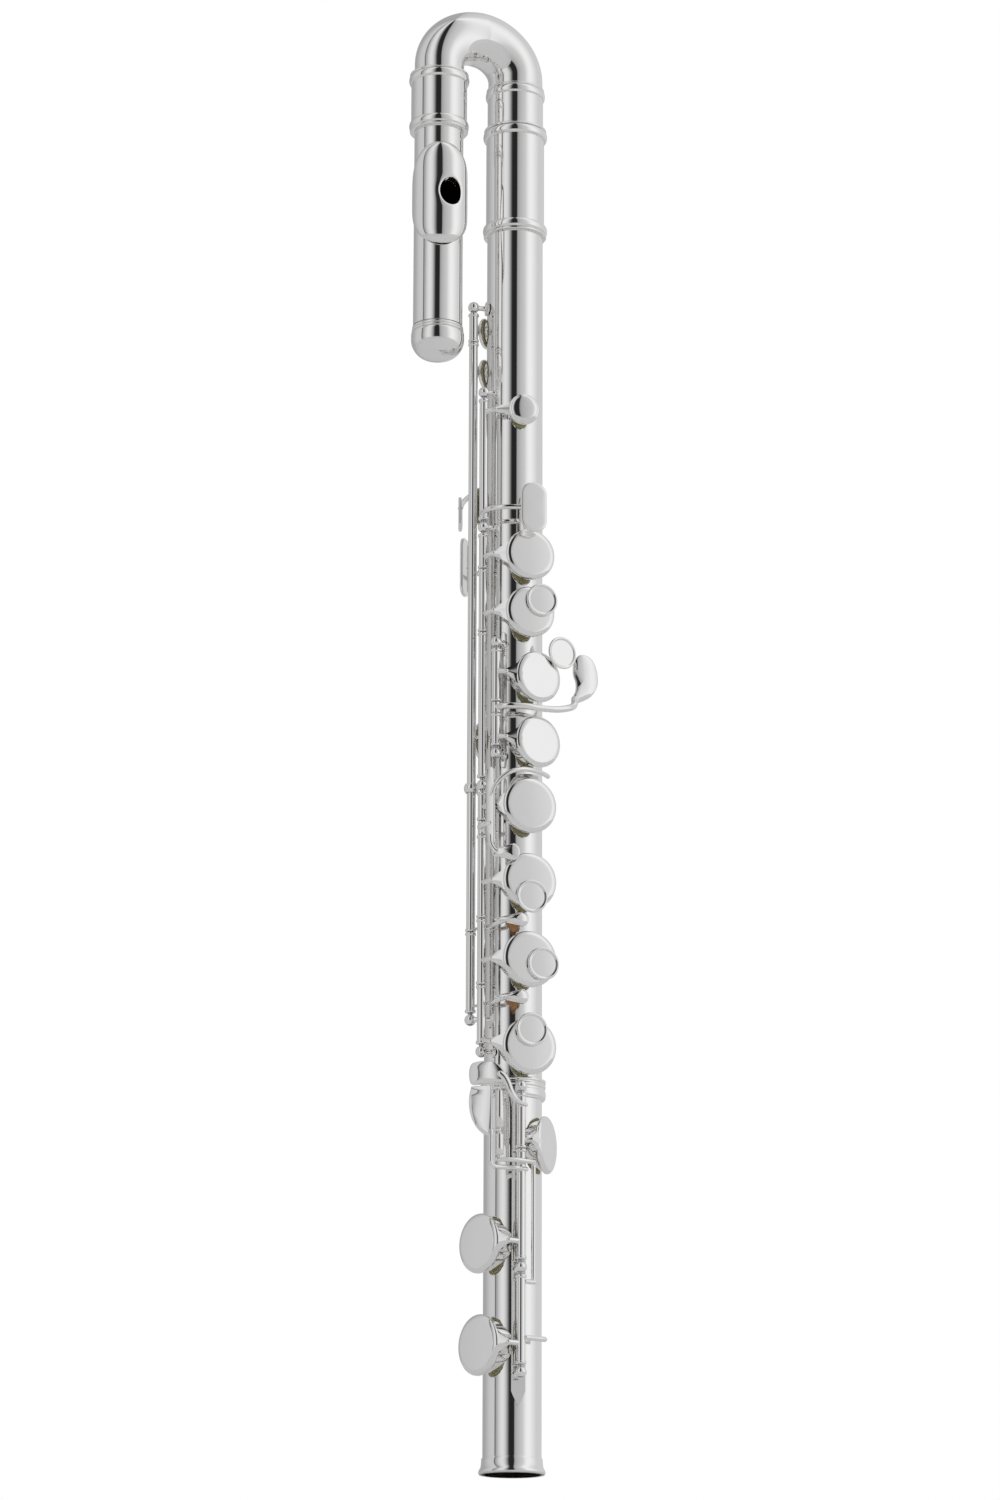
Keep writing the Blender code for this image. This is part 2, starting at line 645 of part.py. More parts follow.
def make_crown():
    """The screwed end cap of the head, with a blind bore for the stopper screw."""
    top = LEG_LOW_Z - GAP
    low = top - CROWN_HEIGHT
    spigot_r = LEG_R - WALL - GAP
    bore_r = STOPPER_SCREW_R + GAP
    blind = [(0, low + CROWN_FLOOR), (bore_r, low + CROWN_FLOOR), (bore_r, top + CROWN_SPIGOT)]
    profile = [(spigot_r, top + CROWN_SPIGOT), (spigot_r, top), (LEG_R, top), (CROWN_R, top - 1.5),
               (CROWN_R, top - 7.0), (CROWN_R - 0.9, top - 12.5),
               (CROWN_R - 3.2, low + 0.8), (CROWN_R - 5.2, low), (0, low)]
    return turned(blind + profile, TUBE_SIDES, on_leg(Matrix()))


def make_stopper_screw():
    """The plate under the cork, with the screw that the crown turns on."""
    plate_high = CORK_HIGH_Z - CORK_LENGTH - GAP
    plate_low = plate_high - STOPPER_PLATE
    screw_low = LEG_LOW_Z - GAP - CROWN_HEIGHT + CROWN_FLOOR + STOPPER_TRAVEL
    profile = [(0, plate_high), (CORK_R, plate_high), (CORK_R, plate_low),
               (STOPPER_SCREW_R, plate_low), (STOPPER_SCREW_R, screw_low), (0, screw_low)]
    return turned(profile, CUP_SIDES, on_leg(Matrix()))


def make_stopper_cork():
    return disc(CORK_R, CORK_HIGH_Z - CORK_LENGTH, CORK_HIGH_Z, CUP_SIDES, on_leg(Matrix()))


# Rods and posts

def rod_point(rod, z):
    return spot(rod[0], rod[1], z)


def hinge_tube(rod, low, high):
    """A hinge tube on a rod, with half a gap left free at each end for its neighbour."""
    place = Matrix.Translation(rod_point(rod, 0))
    return pipe(HINGE_R, HINGE_BORE_R, low + GAP / 2, high - GAP / 2, HINGE_SIDES, place)


def rod_between(rod, low_post, high_post):
    """A steel rod that ends flush in the balls of its two outer posts."""
    place = Matrix.Translation(rod_point(rod, 0))
    return disc(ROD_R, low_post - ROD_END, high_post + ROD_END, HINGE_SIDES, place)


def ball(rod, z, bore=HINGE_BORE_R, radius=BALL_R):
    """A post's ball, bored for the rod that it holds."""
    top = math.sqrt(radius ** 2 - (bore + 0.35) ** 2)
    arcs = 3
    start = math.asin(top / radius)
    profile = [(radius * math.cos(start * (1 - 2 * i / arcs)), radius * math.sin(start * (1 - 2 * i / arcs)))
               for i in range(arcs + 1)]
    profile += [(bore, -top), (bore, top)]
    return turned(profile, HINGE_SIDES, Matrix.Translation(rod_point(rod, z)), ring=True)


def post(rod, z, base_phi, bore=HINGE_BORE_R, radius=BALL_R, base_rho=(STRAP_LOW + STRAP_HIGH) / 2):
    """A post: a tapered stem from its base on the tube, with a bored ball on top."""
    centre = rod_point(rod, z)
    base = spot(base_rho, base_phi, z)
    reach = (centre - base).normalized()
    stem = bar(base, centre - reach * (bore + 0.5), 1.7, 1.4, sides=HINGE_SIDES)
    return fused([ball(rod, z, bore, radius), stem])


def standing_on_tube(pieces):
    """Soldered pieces trimmed underneath so that they sit on the tube."""
    slack = 0.1
    return trimmed(fused(pieces), [disc(STRAP_LOW - slack, 0, BODY_TOP_Z, TUBE_SIDES)])


def scalloped(rib, holes):
    """A rib cut back where it would run into the tone holes beside it."""
    room = CHIMNEY_WALL + GAP
    return trimmed(rib, [disc(r + room, r * 0.45, rim + 2, CUP_SIDES, seat(phi, z)) for z, phi, r, rim in holes])


def strap(phi_low, phi_high, low, high):
    """A long plate that lies on the tube between two angles, with round ends."""
    rho = (STRAP_LOW + STRAP_HIGH) / 2
    width = math.radians(phi_high - phi_low) * rho
    outline = slot_outline(width, high - low)
    return bent_plate(outline, STRAP_HIGH - STRAP_LOW, rho, (phi_low + phi_high) / 2, (low + high) / 2)


def foot_pad(phi, z, radius=3.4):
    """The round saddle under a post that stands on the tube itself."""
    rho = (STRAP_LOW + STRAP_HIGH) / 2
    return bent_plate(oval(2 * radius, 2 * radius, 10), STRAP_HIGH - STRAP_LOW, rho, phi, z, slices=2)


def make_main_rib():
    """The long rib with the main posts, two of which also carry the trill rod beside them."""
    beside = [hole for hole in TONE_HOLES if hole[1] == 0.0]
    pieces = [scalloped(strap(57, 73, MAIN_POSTS[-1] - 7, MAIN_POSTS[0] + 7), beside)]
    pieces += [post(MAIN_ROD, z, 66) for z in MAIN_POSTS]
    wide = HINGE_R + GAP
    pieces.append(post(TRILL_ROD, TRILL_BRIDGE_Z, 69.3, bore=wide, radius=wide + 1.1))
    pieces.append(post(TRILL_ROD, TRILL_LOW_POST_Z, 69.3))
    return standing_on_tube(pieces)


def make_g_rib():
    pieces = [strap(45, 55, G_POSTS[1] - 6, G_POSTS[0] + 6)]
    pieces += [post(G_ROD, z, 48.5) for z in G_POSTS]
    return standing_on_tube(pieces)


def make_trill_top_post():
    top_post = post(TRILL_ROD, TRILL_TOP_POST_Z, TRILL_ROD[1])
    return standing_on_tube([foot_pad(TRILL_ROD[1], TRILL_TOP_POST_Z), top_post])


def make_thumb_rib():
    pieces = [strap(187, 197, THUMB_POSTS[1] - 5, THUMB_POSTS[0] + 5)]
    pieces += [post(THUMB_ROD, z, THUMB_ROD[1]) for z in THUMB_POSTS]
    return standing_on_tube(pieces)


def make_foot_rib():
    """The foot joint's rib, pointed at its lower end, with its two posts."""
    width, tip = 6.4, 0.6
    low, shoulder, high = FOOT_POSTS[2] - 14.6, FOOT_POSTS[2] - 8.0, SOCKET_LOW_Z - 1.0
    outline = [(width / 2, shoulder), (width / 2, high), (-width / 2, high), (-width / 2, shoulder),
               (-tip, low), (tip, low)]
    rho = (STRAP_LOW + STRAP_HIGH) / 2
    rib = scalloped(bent_plate(outline, STRAP_HIGH - STRAP_LOW, rho, FOOT_ROD[1], 0), FOOT_HOLES)
    posts = [post(FOOT_ROD, z, FOOT_ROD[1]) for z in FOOT_POSTS[1:]]
    return standing_on_tube([rib, *posts])


# Keys

def arm_points(rod, phi, z, radius, rim, arm_up):
    """Where an arm starts, narrows and meets its cup, in the cup's own frame."""
    place = seat(phi, z)
    hinge = place.inverted() @ rod_point(rod, z + arm_up)
    side = -1 if hinge.x < 0 else 1
    meet = Vector((side * radius, 0, rim + 1.9))
    outward = place.inverted().to_3x3() @ spot(1, rod[1], 0)
    step = 0.55 * (meet - hinge) + 1.8 * outward
    apex = hinge + step * max(1.0, SHORTEST_NECK / step.length)
    return place, hinge, apex, meet, side


def cup_key(rod, phi, z, radius, rim, hinge_tube, dome=0.0, flare=ARM_FLARE, arm_up=0.0, neck=None, extras=()):
    """A key made closed: hinge tube, arm, and a cup whose recess takes the pad.

    arm_up raises the arm's root on its rod. A neck of its own replaces the usual straight one.
    """
    place, hinge, apex, meet, side = arm_points(rod, phi, z, radius, rim, arm_up)
    if neck is None:
        reach = (apex - hinge).normalized()
        tube_wall = (HINGE_R + HINGE_BORE_R) / 2
        neck = bar(place @ (hinge + reach * tube_wall), place @ (apex + reach * 0.5), NECK_R + 0.1, NECK_R)
    else:
        apex = meet + Vector((side * 0.5, 0, -0.2))
    run = (meet - apex).normalized()
    lift = Vector((-run.z, 0, run.x)) if run.x > 0 else Vector((run.z, 0, -run.x))
    narrow = [apex + Vector((0, y, 0)) + lift * h for y, h in
              ((-1.3, -1.1), (1.3, -1.1), (1.3, 0.4), (0, 1.2), (-1.3, 0.4))]
    inner_x = meet.x - side * 2.4
    wide = [Vector((inner_x, y, rim + h)) for y, h in
            ((-flare, CUP_LIFT + 0.2), (flare, CUP_LIFT + 0.2), (flare, CUP_HEIGHT - 0.75),
             (0, CUP_HEIGHT - 0.05), (-flare, CUP_HEIGHT - 0.75))]
    wedge = loft([[place @ p for p in narrow], [place @ p for p in wide]])
    top = rim + CUP_HEIGHT
    bottom = rim + CUP_LIFT
    bulge = [(0, top + dome)] if dome == 0 else [(0, top + dome), (radius * 0.35, top + dome * 0.86),
                                                 (radius * 0.65, top + dome * 0.5)]
    cup = turned([*bulge, (radius - 0.8, top), (radius, top - 0.7), (radius, bottom), (0, bottom)],
                 CUP_SIDES, place)
    recess = disc(radius - CUP_WALL, bottom - 1, rim + RECESS_LIFT, CUP_SIDES, place)
    solid = trimmed(fused([cup, wedge, neck, hinge_tube]), [recess])
    return fused([solid, *extras])


def cup_pad(phi, z, radius, rim):
    """The pad in a cup: a felt disc in skin, a little smaller than the recess."""
    place = seat(phi, z)
    pad_r = radius - CUP_WALL - GAP
    top = rim + RECESS_LIFT - GAP
    low = rim + PAD_LIFT
    return disc(pad_r, low, top, CUP_SIDES, place)


def button(phi, z, across, up, rim=RIM):
    """A finger button on a cup, moved from the cup's centre."""
    top = rim + CUP_HEIGHT
    place = seat(phi, z) @ Matrix.Translation((across, up, 0))
    return turned([(0, top + 1.8), (BUTTON_R - 0.5, top + 1.8), (BUTTON_R, top + 1.1),
                   (BUTTON_R - 3.8, top - 0.4), (0, top - 0.4)], HOLE_SIDES, place)


def finish_key(name, pad_name, solid, pad, rod, open_angle):
    pivot = rod_point(rod, 0)
    key = part(name, solid, "silver", pivot, open_angle)
    part(pad_name, pad, "pad", pivot, carrier=key)


def make_main_keys():
    main = (
        ("a_sharp", A_SHARP_Z, UPPER_CUP_R, A_TO_A_SHARP_Z, MAIN_POSTS[1] - POST_ROOM, 0.0, None),
        ("a", A_Z, UPPER_CUP_R, G_SHARP_TO_A_Z, A_TO_A_SHARP_Z, 0.0, (4.8, 5.6)),
        ("f_sharp", F_SHARP_Z, LOWER_CUP_R, LEVER_TO_F_SHARP_Z, MAIN_POSTS[2] - POST_ROOM, 0.0, None),
        ("f", F_Z, LOWER_CUP_R, E_TO_F_Z, F_TO_LEVER_Z, 0.0, (0.0, -7.9)),
        ("e", E_Z, LOWER_CUP_R, D_TO_E_Z, E_TO_F_Z, 0.0, (5.6, -2.3)),
        ("d", D_Z, LOWER_CUP_R, MAIN_POSTS[3] + POST_ROOM, D_TO_E_Z, 4.1, (0.0, 7.4)),
    )
    for name, z, radius, low, high, arm_up, touch in main:
        extras = [] if touch is None else [button(0, z, *touch)]
        tube = hinge_tube(MAIN_ROD, low, high)
        solid = cup_key(MAIN_ROD, 0, z, radius, RIM, tube, arm_up=arm_up, extras=extras)
        finish_key(f"{name}_key", f"{name}_pad", solid, cup_pad(0, z, radius, RIM), MAIN_ROD, -OPEN_ANGLE)


def round_wire(radius, points):
    """A wire along a smooth path through places given as (height above the tube, phi, z)."""
    path = smooth_path([spot(TUBE_R + height, phi, z) for height, phi, z in points], 1)
    return wire(path, radius)


def make_small_c_key():
    z = A_SHARP_Z + 23.4
    touch = bent_plate(oval(13.7, 25.5, 14), 1.5, TUBE_R + 9.5, 2, z)
    stalk = round_wire(NECK_R, [(7.5, 75, z), (10.1, 58, z), (10.5, 38, z), (9.5, 12, z)])
    tube = hinge_tube(MAIN_ROD, MAIN_POSTS[1] + POST_ROOM, MAIN_POSTS[0] - POST_ROOM)
    solid = cup_key(MAIN_ROD, SMALL_C_PHI, SMALL_C_Z, SMALL_C_R, SMALL_RIM, tube, dome=1.1, flare=3.6,
                    extras=[fused([touch, stalk])])
    pad = cup_pad(SMALL_C_PHI, SMALL_C_Z, SMALL_C_R, SMALL_RIM)
    finish_key("small_c_key", "small_c_pad", solid, pad, MAIN_ROD, -OPEN_ANGLE)


def make_g_keys():
    """The two G cups, which close together, and the oval touch on the upper one's bridge."""
    top = RIM + CUP_HEIGHT
    touch_x, touch_y = 11.6, 12.7
    touch = button(G_PHI, G_UPPER_Z, touch_x, touch_y)
    place = seat(G_PHI, G_UPPER_Z)
    bridge = bar(place @ Vector((8.2, 8.9, top - 1.1)), place @ Vector((touch_x, touch_y, top + 0.1)), 1.1)
    tube = hinge_tube(G_ROD, G_LEVER_Z + G_LEVER_WIDTH / 2, G_POSTS[0] - POST_ROOM)
    upper = cup_key(G_ROD, G_PHI, G_UPPER_Z, UPPER_CUP_R, RIM, tube, extras=[fused([touch, bridge])])
    pad = cup_pad(G_PHI, G_UPPER_Z, UPPER_CUP_R, RIM)
    finish_key("g_upper_key", "g_upper_pad", upper, pad, G_ROD, -OPEN_ANGLE)
    tube = hinge_tube(G_ROD, G_POSTS[1] + POST_ROOM, G_LEVER_Z - G_LEVER_WIDTH / 2)
    lower = cup_key(G_ROD, G_PHI, G_LOWER_Z, UPPER_CUP_R, RIM, tube)
    pad = cup_pad(G_PHI, G_LOWER_Z, UPPER_CUP_R, RIM)
    finish_key("g_lower_key", "g_lower_pad", lower, pad, G_ROD, -OPEN_ANGLE)


def make_g_sharp_lever():
    """The left little finger's lever, from the G rod across between the G cups to its spatula."""
    z = G_LEVER_Z
    stalk = round_wire(1.45, [(7.45, 50, z), (8.35, 36, z), (7.85, 15, z), (8.15, -8, z - 0.2), (11.15, -28, z + 0.4),
                              (14.95, -44, z + 3.0), (17.95, -56, z + 7.0), (20.15, -64, z + 13.0)])
    blade = flat_plate(teardrop(22.0, 6.0, 2.4), 1.7)
    lean = Matrix.Rotation(math.radians(98), 4, "Z")
    blade.data.transform(Matrix.Translation(spot(TUBE_R + 20.85, -66.5, z + 19.0)) @ seat(-18, 0) @ lean)
    tube = hinge_tube(G_ROD, z - G_LEVER_WIDTH / 2, z + G_LEVER_WIDTH / 2)
    part("g_sharp_lever", fused([tube, stalk, blade]), "silver", rod_point(G_ROD, 0))


def make_g_sharp_key():
    """The closed G sharp key, whose arm passes between the tube and the trill tube to reach its cup."""
    z = G_SHARP_Z
    under = round_wire(0.9, [(5.1, 82.7, z), (3.8, 91.6, z), (2.95, 98, z), (2.75, 105, z), (3.45, 110.8, z),
                             (5.45, 113.8, z)])
    tube = hinge_tube(MAIN_ROD, MAIN_POSTS[2] + POST_ROOM, G_SHARP_TO_A_Z)
    solid = cup_key(MAIN_ROD, BACK_PHI, z, BACK_CUP_R, RIM, tube, flare=4.0, neck=under)
    finish_key("g_sharp_key", "g_sharp_pad", solid, cup_pad(BACK_PHI, z, BACK_CUP_R, RIM), MAIN_ROD, 0)


def make_b_flat_side_lever():
    """The right forefinger's side lever: touch, strap, and the long arm that crosses the tube."""
    z = (F_TO_LEVER_Z + LEVER_TO_F_SHARP_Z) / 2
    low, high = z - 14.0, z + 26.8
    strap_plate = bent_plate(slot_outline(4.6, 29.0), 1.5, TUBE_R + 11.55, 55, z + 4.0, slices=2)
    link = round_wire(NECK_R, [(7.85, 77, z), (10.35, 70, z), (11.55, 62, z), (11.55, 55, z)])
    outline = [(-x, y) for x, y in reversed(teardrop(12.5, 4.1, 2.0))]
    drop = bent_plate(outline, 1.6, TUBE_R + 10.95, 38, low)
    knee = round_wire(NECK_R, [(11.55, 55, low + 8.0), (11.45, 54, low + 4.0), (11.25, 49, low + 0.6),
                               (11.05, 44, low)])
    arm = round_wire(1.1, [(11.55, 55, high - 11.8), (11.75, 53, high - 4.8), (11.15, 45, high - 0.6), (9.15, 28, high),
                           (6.35, 6, high), (4.55, -14, high), (3.75, -30, high), (3.55, -42, high)])
    tube = hinge_tube(MAIN_ROD, F_TO_LEVER_Z, LEVER_TO_F_SHARP_Z)
    part("b_flat_side_lever", fused([tube, link, strap_plate, knee, drop, arm]), "silver", rod_point(MAIN_ROD, 0))


def make_thumb_keys():
    """The thumb's cup key and, on the same rod, the B flat lever beside its touch."""
    z = THUMB_Z - 30.0
    touch = bent_plate(slot_outline(9.6, 29.0), 1.5, TUBE_R + 9.55, 135, z)
    stalk = round_wire(NECK_R, [(7.75, 189, z), (10.45, 176, z), (10.75, 160, z), (9.55, 140, z)])
    tube = hinge_tube(THUMB_ROD, THUMB_POSTS[1] + POST_ROOM, THUMB_TO_LEVER_Z)
    cup = cup_key(THUMB_ROD, BACK_PHI, THUMB_Z, BACK_CUP_R, RIM, tube, flare=4.0, extras=[fused([touch, stalk])])
    finish_key("b_thumb_key", "b_thumb_pad", cup, cup_pad(BACK_PHI, THUMB_Z, BACK_CUP_R, RIM), THUMB_ROD, -OPEN_ANGLE)
    z = THUMB_Z - 5.5
    blade = bent_plate(slot_outline(7.6, 17.0), 1.5, TUBE_R + 12.55, 124, z)
    arm = round_wire(NECK_R, [(7.75, 190, z + 17.5), (11.15, 178, z + 17.0), (13.15, 160, z + 14.5),
                              (13.15, 142, z + 8.5), (12.65, 128, z + 3.5)])
    tube = hinge_tube(THUMB_ROD, THUMB_TO_LEVER_Z, THUMB_POSTS[0] - POST_ROOM)
    part("b_flat_thumb_lever", fused([tube, arm, blade]), "silver", rod_point(THUMB_ROD, 0))


def trill_touch(z):
    blade = bent_plate(slot_outline(16.0, 5.4), 1.7, TUBE_R + 7.55, 32, z)
    arm = round_wire(NECK_R, [(8.95, 101, z), (11.55, 93, z), (12.55, 80, z), (11.35, 66, z), (8.75, 54, z),
                              (7.55, 42, z)])
    return fused([blade, arm])


def trill_cork(z):
    return bent_plate(slot_outline(6.8, 3.8), 2.6, TUBE_R + 5.15, 30, z, slices=2)


def make_trill_keys():
    """Trill key 1 turns on a tube; trill key 2 is pinned to the steel that runs inside that tube."""
    pivot = rod_point(TRILL_ROD, 0)
    tube = hinge_tube(TRILL_ROD, LOW_TRILL_END_Z, TRILL_1_TO_2_Z)
    first = cup_key(TRILL_ROD, TRILL_PHI, TRILL_1_Z, TRILL_CUP_R, SMALL_RIM, tube, flare=3.4,
                    extras=[trill_touch(TRILL_1_TOUCH_Z)])
    finish_key("trill_key_1", "trill_pad_1", first, cup_pad(TRILL_PHI, TRILL_1_Z, TRILL_CUP_R, SMALL_RIM),
               TRILL_ROD, 0)
    part("trill_cork_1", trill_cork(TRILL_1_TOUCH_Z), "cork", pivot)
    place = Matrix.Translation(pivot)
    upper_collar = disc(HINGE_R, TRILL_1_TO_2_Z + GAP / 2, TRILL_TOP_POST_Z - POST_ROOM, HINGE_SIDES, place)
    lower_collar = disc(HINGE_R, TRILL_LOW_POST_Z + POST_ROOM, LOW_TRILL_END_Z - GAP / 2, HINGE_SIDES, place)
    rod = rod_between(TRILL_ROD, TRILL_LOW_POST_Z, TRILL_TOP_POST_Z)
    second = cup_key(TRILL_ROD, TRILL_PHI, TRILL_2_Z, TRILL_CUP_R, SMALL_RIM, upper_collar, flare=3.4,
                     extras=[rod, lower_collar, trill_touch(TRILL_2_TOUCH_Z)])
    finish_key("trill_key_2", "trill_pad_2", second, cup_pad(TRILL_PHI, TRILL_2_Z, TRILL_CUP_R, SMALL_RIM),
               TRILL_ROD, 0)
    part("trill_cork_2", trill_cork(TRILL_2_TOUCH_Z), "cork", pivot)


# Foot keys

ROLLER_RHO = TUBE_R + 13.55
ROLLER_PHI = 45.0
ROLLER_R = 2.0
ROLLER_PIN_R = 0.7
C_SHARP_ARM_Z = D_SHARP_Z - 13.5
LOW_C_ARM_Z = D_SHARP_Z - 10.1
ROLLER_1 = (D_SHARP_Z + 4.3, D_SHARP_Z + 21.5)
ROLLER_2 = (LOW_C_ARM_Z + 1.8, ROLLER_1[0] - 2.8)


def rounded_box(width, height, radius, points=3):
    outline = []
    for i, (sx, sy) in enumerate(((1, 1), (-1, 1), (-1, -1), (1, -1))):
        for j in range(points + 1):
            a = math.radians(90 * i + 90 * j / points)
            outline.append((sx * (width / 2 - radius) + radius * math.cos(a),
                            sy * (height / 2 - radius) + radius * math.sin(a)))
    return outline


def make_d_sharp_key():
    z = SOCKET_HIGH_Z - 0.6
    blade = bent_plate(rounded_box(19.5, 11.0, 4.2), 1.7, TUBE_R + 14.55, 53, z, slices=4)
    arm = round_wire(1.3, [(14.45, 38, z - 2.8), (13.75, 31, z - 4.9), (12.15, 26, z - 9.4), (10.15, 21.5, z - 12.2),
                           (8.45, 18.5, z - 12.4)])
    tube = hinge_tube(FOOT_ROD, FOOT_TUBES_MEET_Z, FOOT_POSTS[0] - POST_ROOM)
    solid = cup_key(FOOT_ROD, D_SHARP_PHI, D_SHARP_Z, D_SHARP_R, RIM, tube, extras=[fused([blade, arm])])
    pad = cup_pad(D_SHARP_PHI, D_SHARP_Z, D_SHARP_R, RIM)
    finish_key("d_sharp_key", "d_sharp_pad", solid, pad, FOOT_ROD, 0)


def paddle_outline(width, height, points=7):
    """Straight on one side and bulging on the other, pointed at its lower end."""
    outline = []
    for i in range(points + 1):
        share = i / points
        y = height * (0.5 - share)
        bulge = math.sin(math.pi * min(1.0, 0.28 + 0.72 * share)) ** 0.55 if share < 1 else 0.0
        outline.append((width * (bulge - 0.5), y))
    return outline + [(-width / 2 - 0.9, -height / 2), (-width / 2 - 0.9, height / 2)]


def make_c_sharp_key():
    """The C sharp key: its bar carries the paddle and, between two lugs, the pin of the first roller."""
    arm_z, (low, high) = C_SHARP_ARM_Z, ROLLER_1
    bar_height, bar_phi = 15.35, 57.5
    blade = bent_plate(paddle_outline(8.0, 22.0), 1.6, TUBE_R + 15.55, 66, (low + high) / 2 - 1.2)
    upright = round_wire(1.1, [(bar_height, bar_phi, arm_z + 16.7), (bar_height, bar_phi, arm_z + 8.2),
                               (bar_height - 0.3, bar_phi, arm_z + 1.8), (13.85, 54, arm_z), (10.95, 38, arm_z),
                               (10.45, 27, arm_z), (8.35, 19, arm_z)])
    lug = 0.8
    lugs = [wire([spot(TUBE_R + bar_height, bar_phi + 1, z), spot(ROLLER_RHO, ROLLER_PHI, z)], lug)
            for z in (low - GAP - lug, high + GAP + lug)]
    pin = bar(spot(ROLLER_RHO, ROLLER_PHI, low - GAP - 2 * lug), spot(ROLLER_RHO, ROLLER_PHI, high + GAP + 2 * lug),
              ROLLER_PIN_R)
    tube = hinge_tube(FOOT_ROD, FOOT_POSTS[1] + POST_ROOM, FOOT_TUBES_MEET_Z)
    solid = cup_key(FOOT_ROD, C_SHARP_PHI, C_SHARP_Z, C_SHARP_R, RIM, tube, extras=[fused([blade, upright, *lugs, pin])])
    pad = cup_pad(C_SHARP_PHI, C_SHARP_Z, C_SHARP_R, RIM)
    finish_key("c_sharp_key", "c_sharp_pad", solid, pad, FOOT_ROD, OPEN_ANGLE)


def make_low_c_key():
    """The low C cup with the thin side rod that carries it up past the C sharp tube to its roller."""
    z = LOW_C_ARM_Z
    thin_height, thin_phi, thin_r = 6.85, 0.5, 1.05
    bracket_z = FOOT_POSTS[1] - 6.5
    side_rod = bar(spot(TUBE_R + thin_height, thin_phi, bracket_z), spot(TUBE_R + thin_height, thin_phi, z), thin_r)
    bracket = round_wire(1.1, [(7.15, 12.6, bracket_z), (thin_height, thin_phi - 2, bracket_z)])
    arm = round_wire(1.1, [(thin_height, thin_phi - 2, z), (9.15, 6, z), (10.55, 18.5, z), (11.75, 31, z),
                           (ROLLER_RHO - TUBE_R, ROLLER_PHI + 2, z)])
    pin = bar(spot(ROLLER_RHO, ROLLER_PHI, z), spot(ROLLER_RHO, ROLLER_PHI, ROLLER_2[1] + GAP), ROLLER_PIN_R)
    stub = round_wire(1.2, [(7.95, 13, LOW_C_Z + 2.4), (7.95, -17, LOW_C_Z + 2.4)])
    tube = hinge_tube(FOOT_ROD, FOOT_POSTS[2] + POST_ROOM, FOOT_POSTS[1] - POST_ROOM)
    solid = cup_key(FOOT_ROD, LOW_C_PHI, LOW_C_Z, LOW_C_R, RIM, tube,
                    extras=[fused([side_rod, bracket, arm, pin]), stub])
    finish_key("low_c_key", "low_c_pad", solid, cup_pad(LOW_C_PHI, LOW_C_Z, LOW_C_R, RIM), FOOT_ROD, OPEN_ANGLE)


def make_roller(low, high):
    place = Matrix.Translation(spot(ROLLER_RHO, ROLLER_PHI, 0))
    bore = ROLLER_PIN_R + GAP
    edge = 0.7
    return turned([(ROLLER_R - edge, high), (ROLLER_R, high - edge), (ROLLER_R, low + edge), (ROLLER_R - edge, low),
                   (bore, low), (bore, high)], HINGE_SIDES, place, ring=True)


def rest_roller(name, limits):
    """A roller turns on its key's pin, so at rest it lies where that open key carries it."""
    pivot = rod_point(FOOT_ROD, 0)
    swing = Matrix.Translation(pivot) @ Matrix.Rotation(math.radians(OPEN_ANGLE), 4, "Z")
    centre = swing @ (spot(ROLLER_RHO, ROLLER_PHI, 0) - pivot)
    roller = make_roller(*limits)
    roller.data.transform(Matrix.Translation(centre - spot(ROLLER_RHO, ROLLER_PHI, 0)))
    part(name, roller, "silver", centre)


# The whole flute

part("body_tube", make_body_tube(), "silver")
part("barrel", make_barrel(), "silver")
part("foot_tube", make_foot_tube(), "silver")
part("foot_end_ring", make_end_ring(), "silver")
part("head_tenon", make_head_tenon(), "silver")
part("crook_tube", make_crook(), "silver")
part("leg_sleeve", make_leg_sleeve(), "silver")
part("embouchure_tube", make_embouchure_tube(), "silver")
part("lip_plate", make_lip_plate(), "silver")
part("crown", make_crown(), "silver", (LEG_X, 0, 0))
part("stopper_screw", make_stopper_screw(), "steel", (LEG_X, 0, 0))
part("stopper_cork", make_stopper_cork(), "cork", (LEG_X, 0, 0))
part("main_rib", make_main_rib(), "silver")
part("g_rib", make_g_rib(), "silver")
part("trill_top_post", make_trill_top_post(), "silver")
part("thumb_rib", make_thumb_rib(), "silver")
part("foot_rib", make_foot_rib(), "silver")
part("main_pivot_rod", rod_between(MAIN_ROD, MAIN_POSTS[-1], MAIN_POSTS[0]), "steel")
part("g_pivot_rod", rod_between(G_ROD, G_POSTS[1], G_POSTS[0]), "steel")
part("thumb_pivot_rod", rod_between(THUMB_ROD, THUMB_POSTS[1], THUMB_POSTS[0]), "steel")
part("foot_pivot_rod", rod_between(FOOT_ROD, FOOT_POSTS[-1], FOOT_POSTS[0]), "steel")
make_main_keys()
make_small_c_key()
make_g_keys()
make_g_sharp_lever()
make_g_sharp_key()
make_b_flat_side_lever()
make_thumb_keys()
make_trill_keys()
make_d_sharp_key()
make_c_sharp_key()
make_low_c_key()
rest_roller("c_sharp_roller", ROLLER_1)
rest_roller("low_c_roller", ROLLER_2)
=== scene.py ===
"""Looks of the alto flute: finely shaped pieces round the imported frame, finishes, light and camera.

Sizes are in millimetres in the frame of the CAD, and MM turns them into metres.
A place round the flute is rho, its distance from the tube's axis, and phi, the angle from -Y towards -X.
"""

import math

import bmesh
import bpy
from mathutils import Matrix, Vector


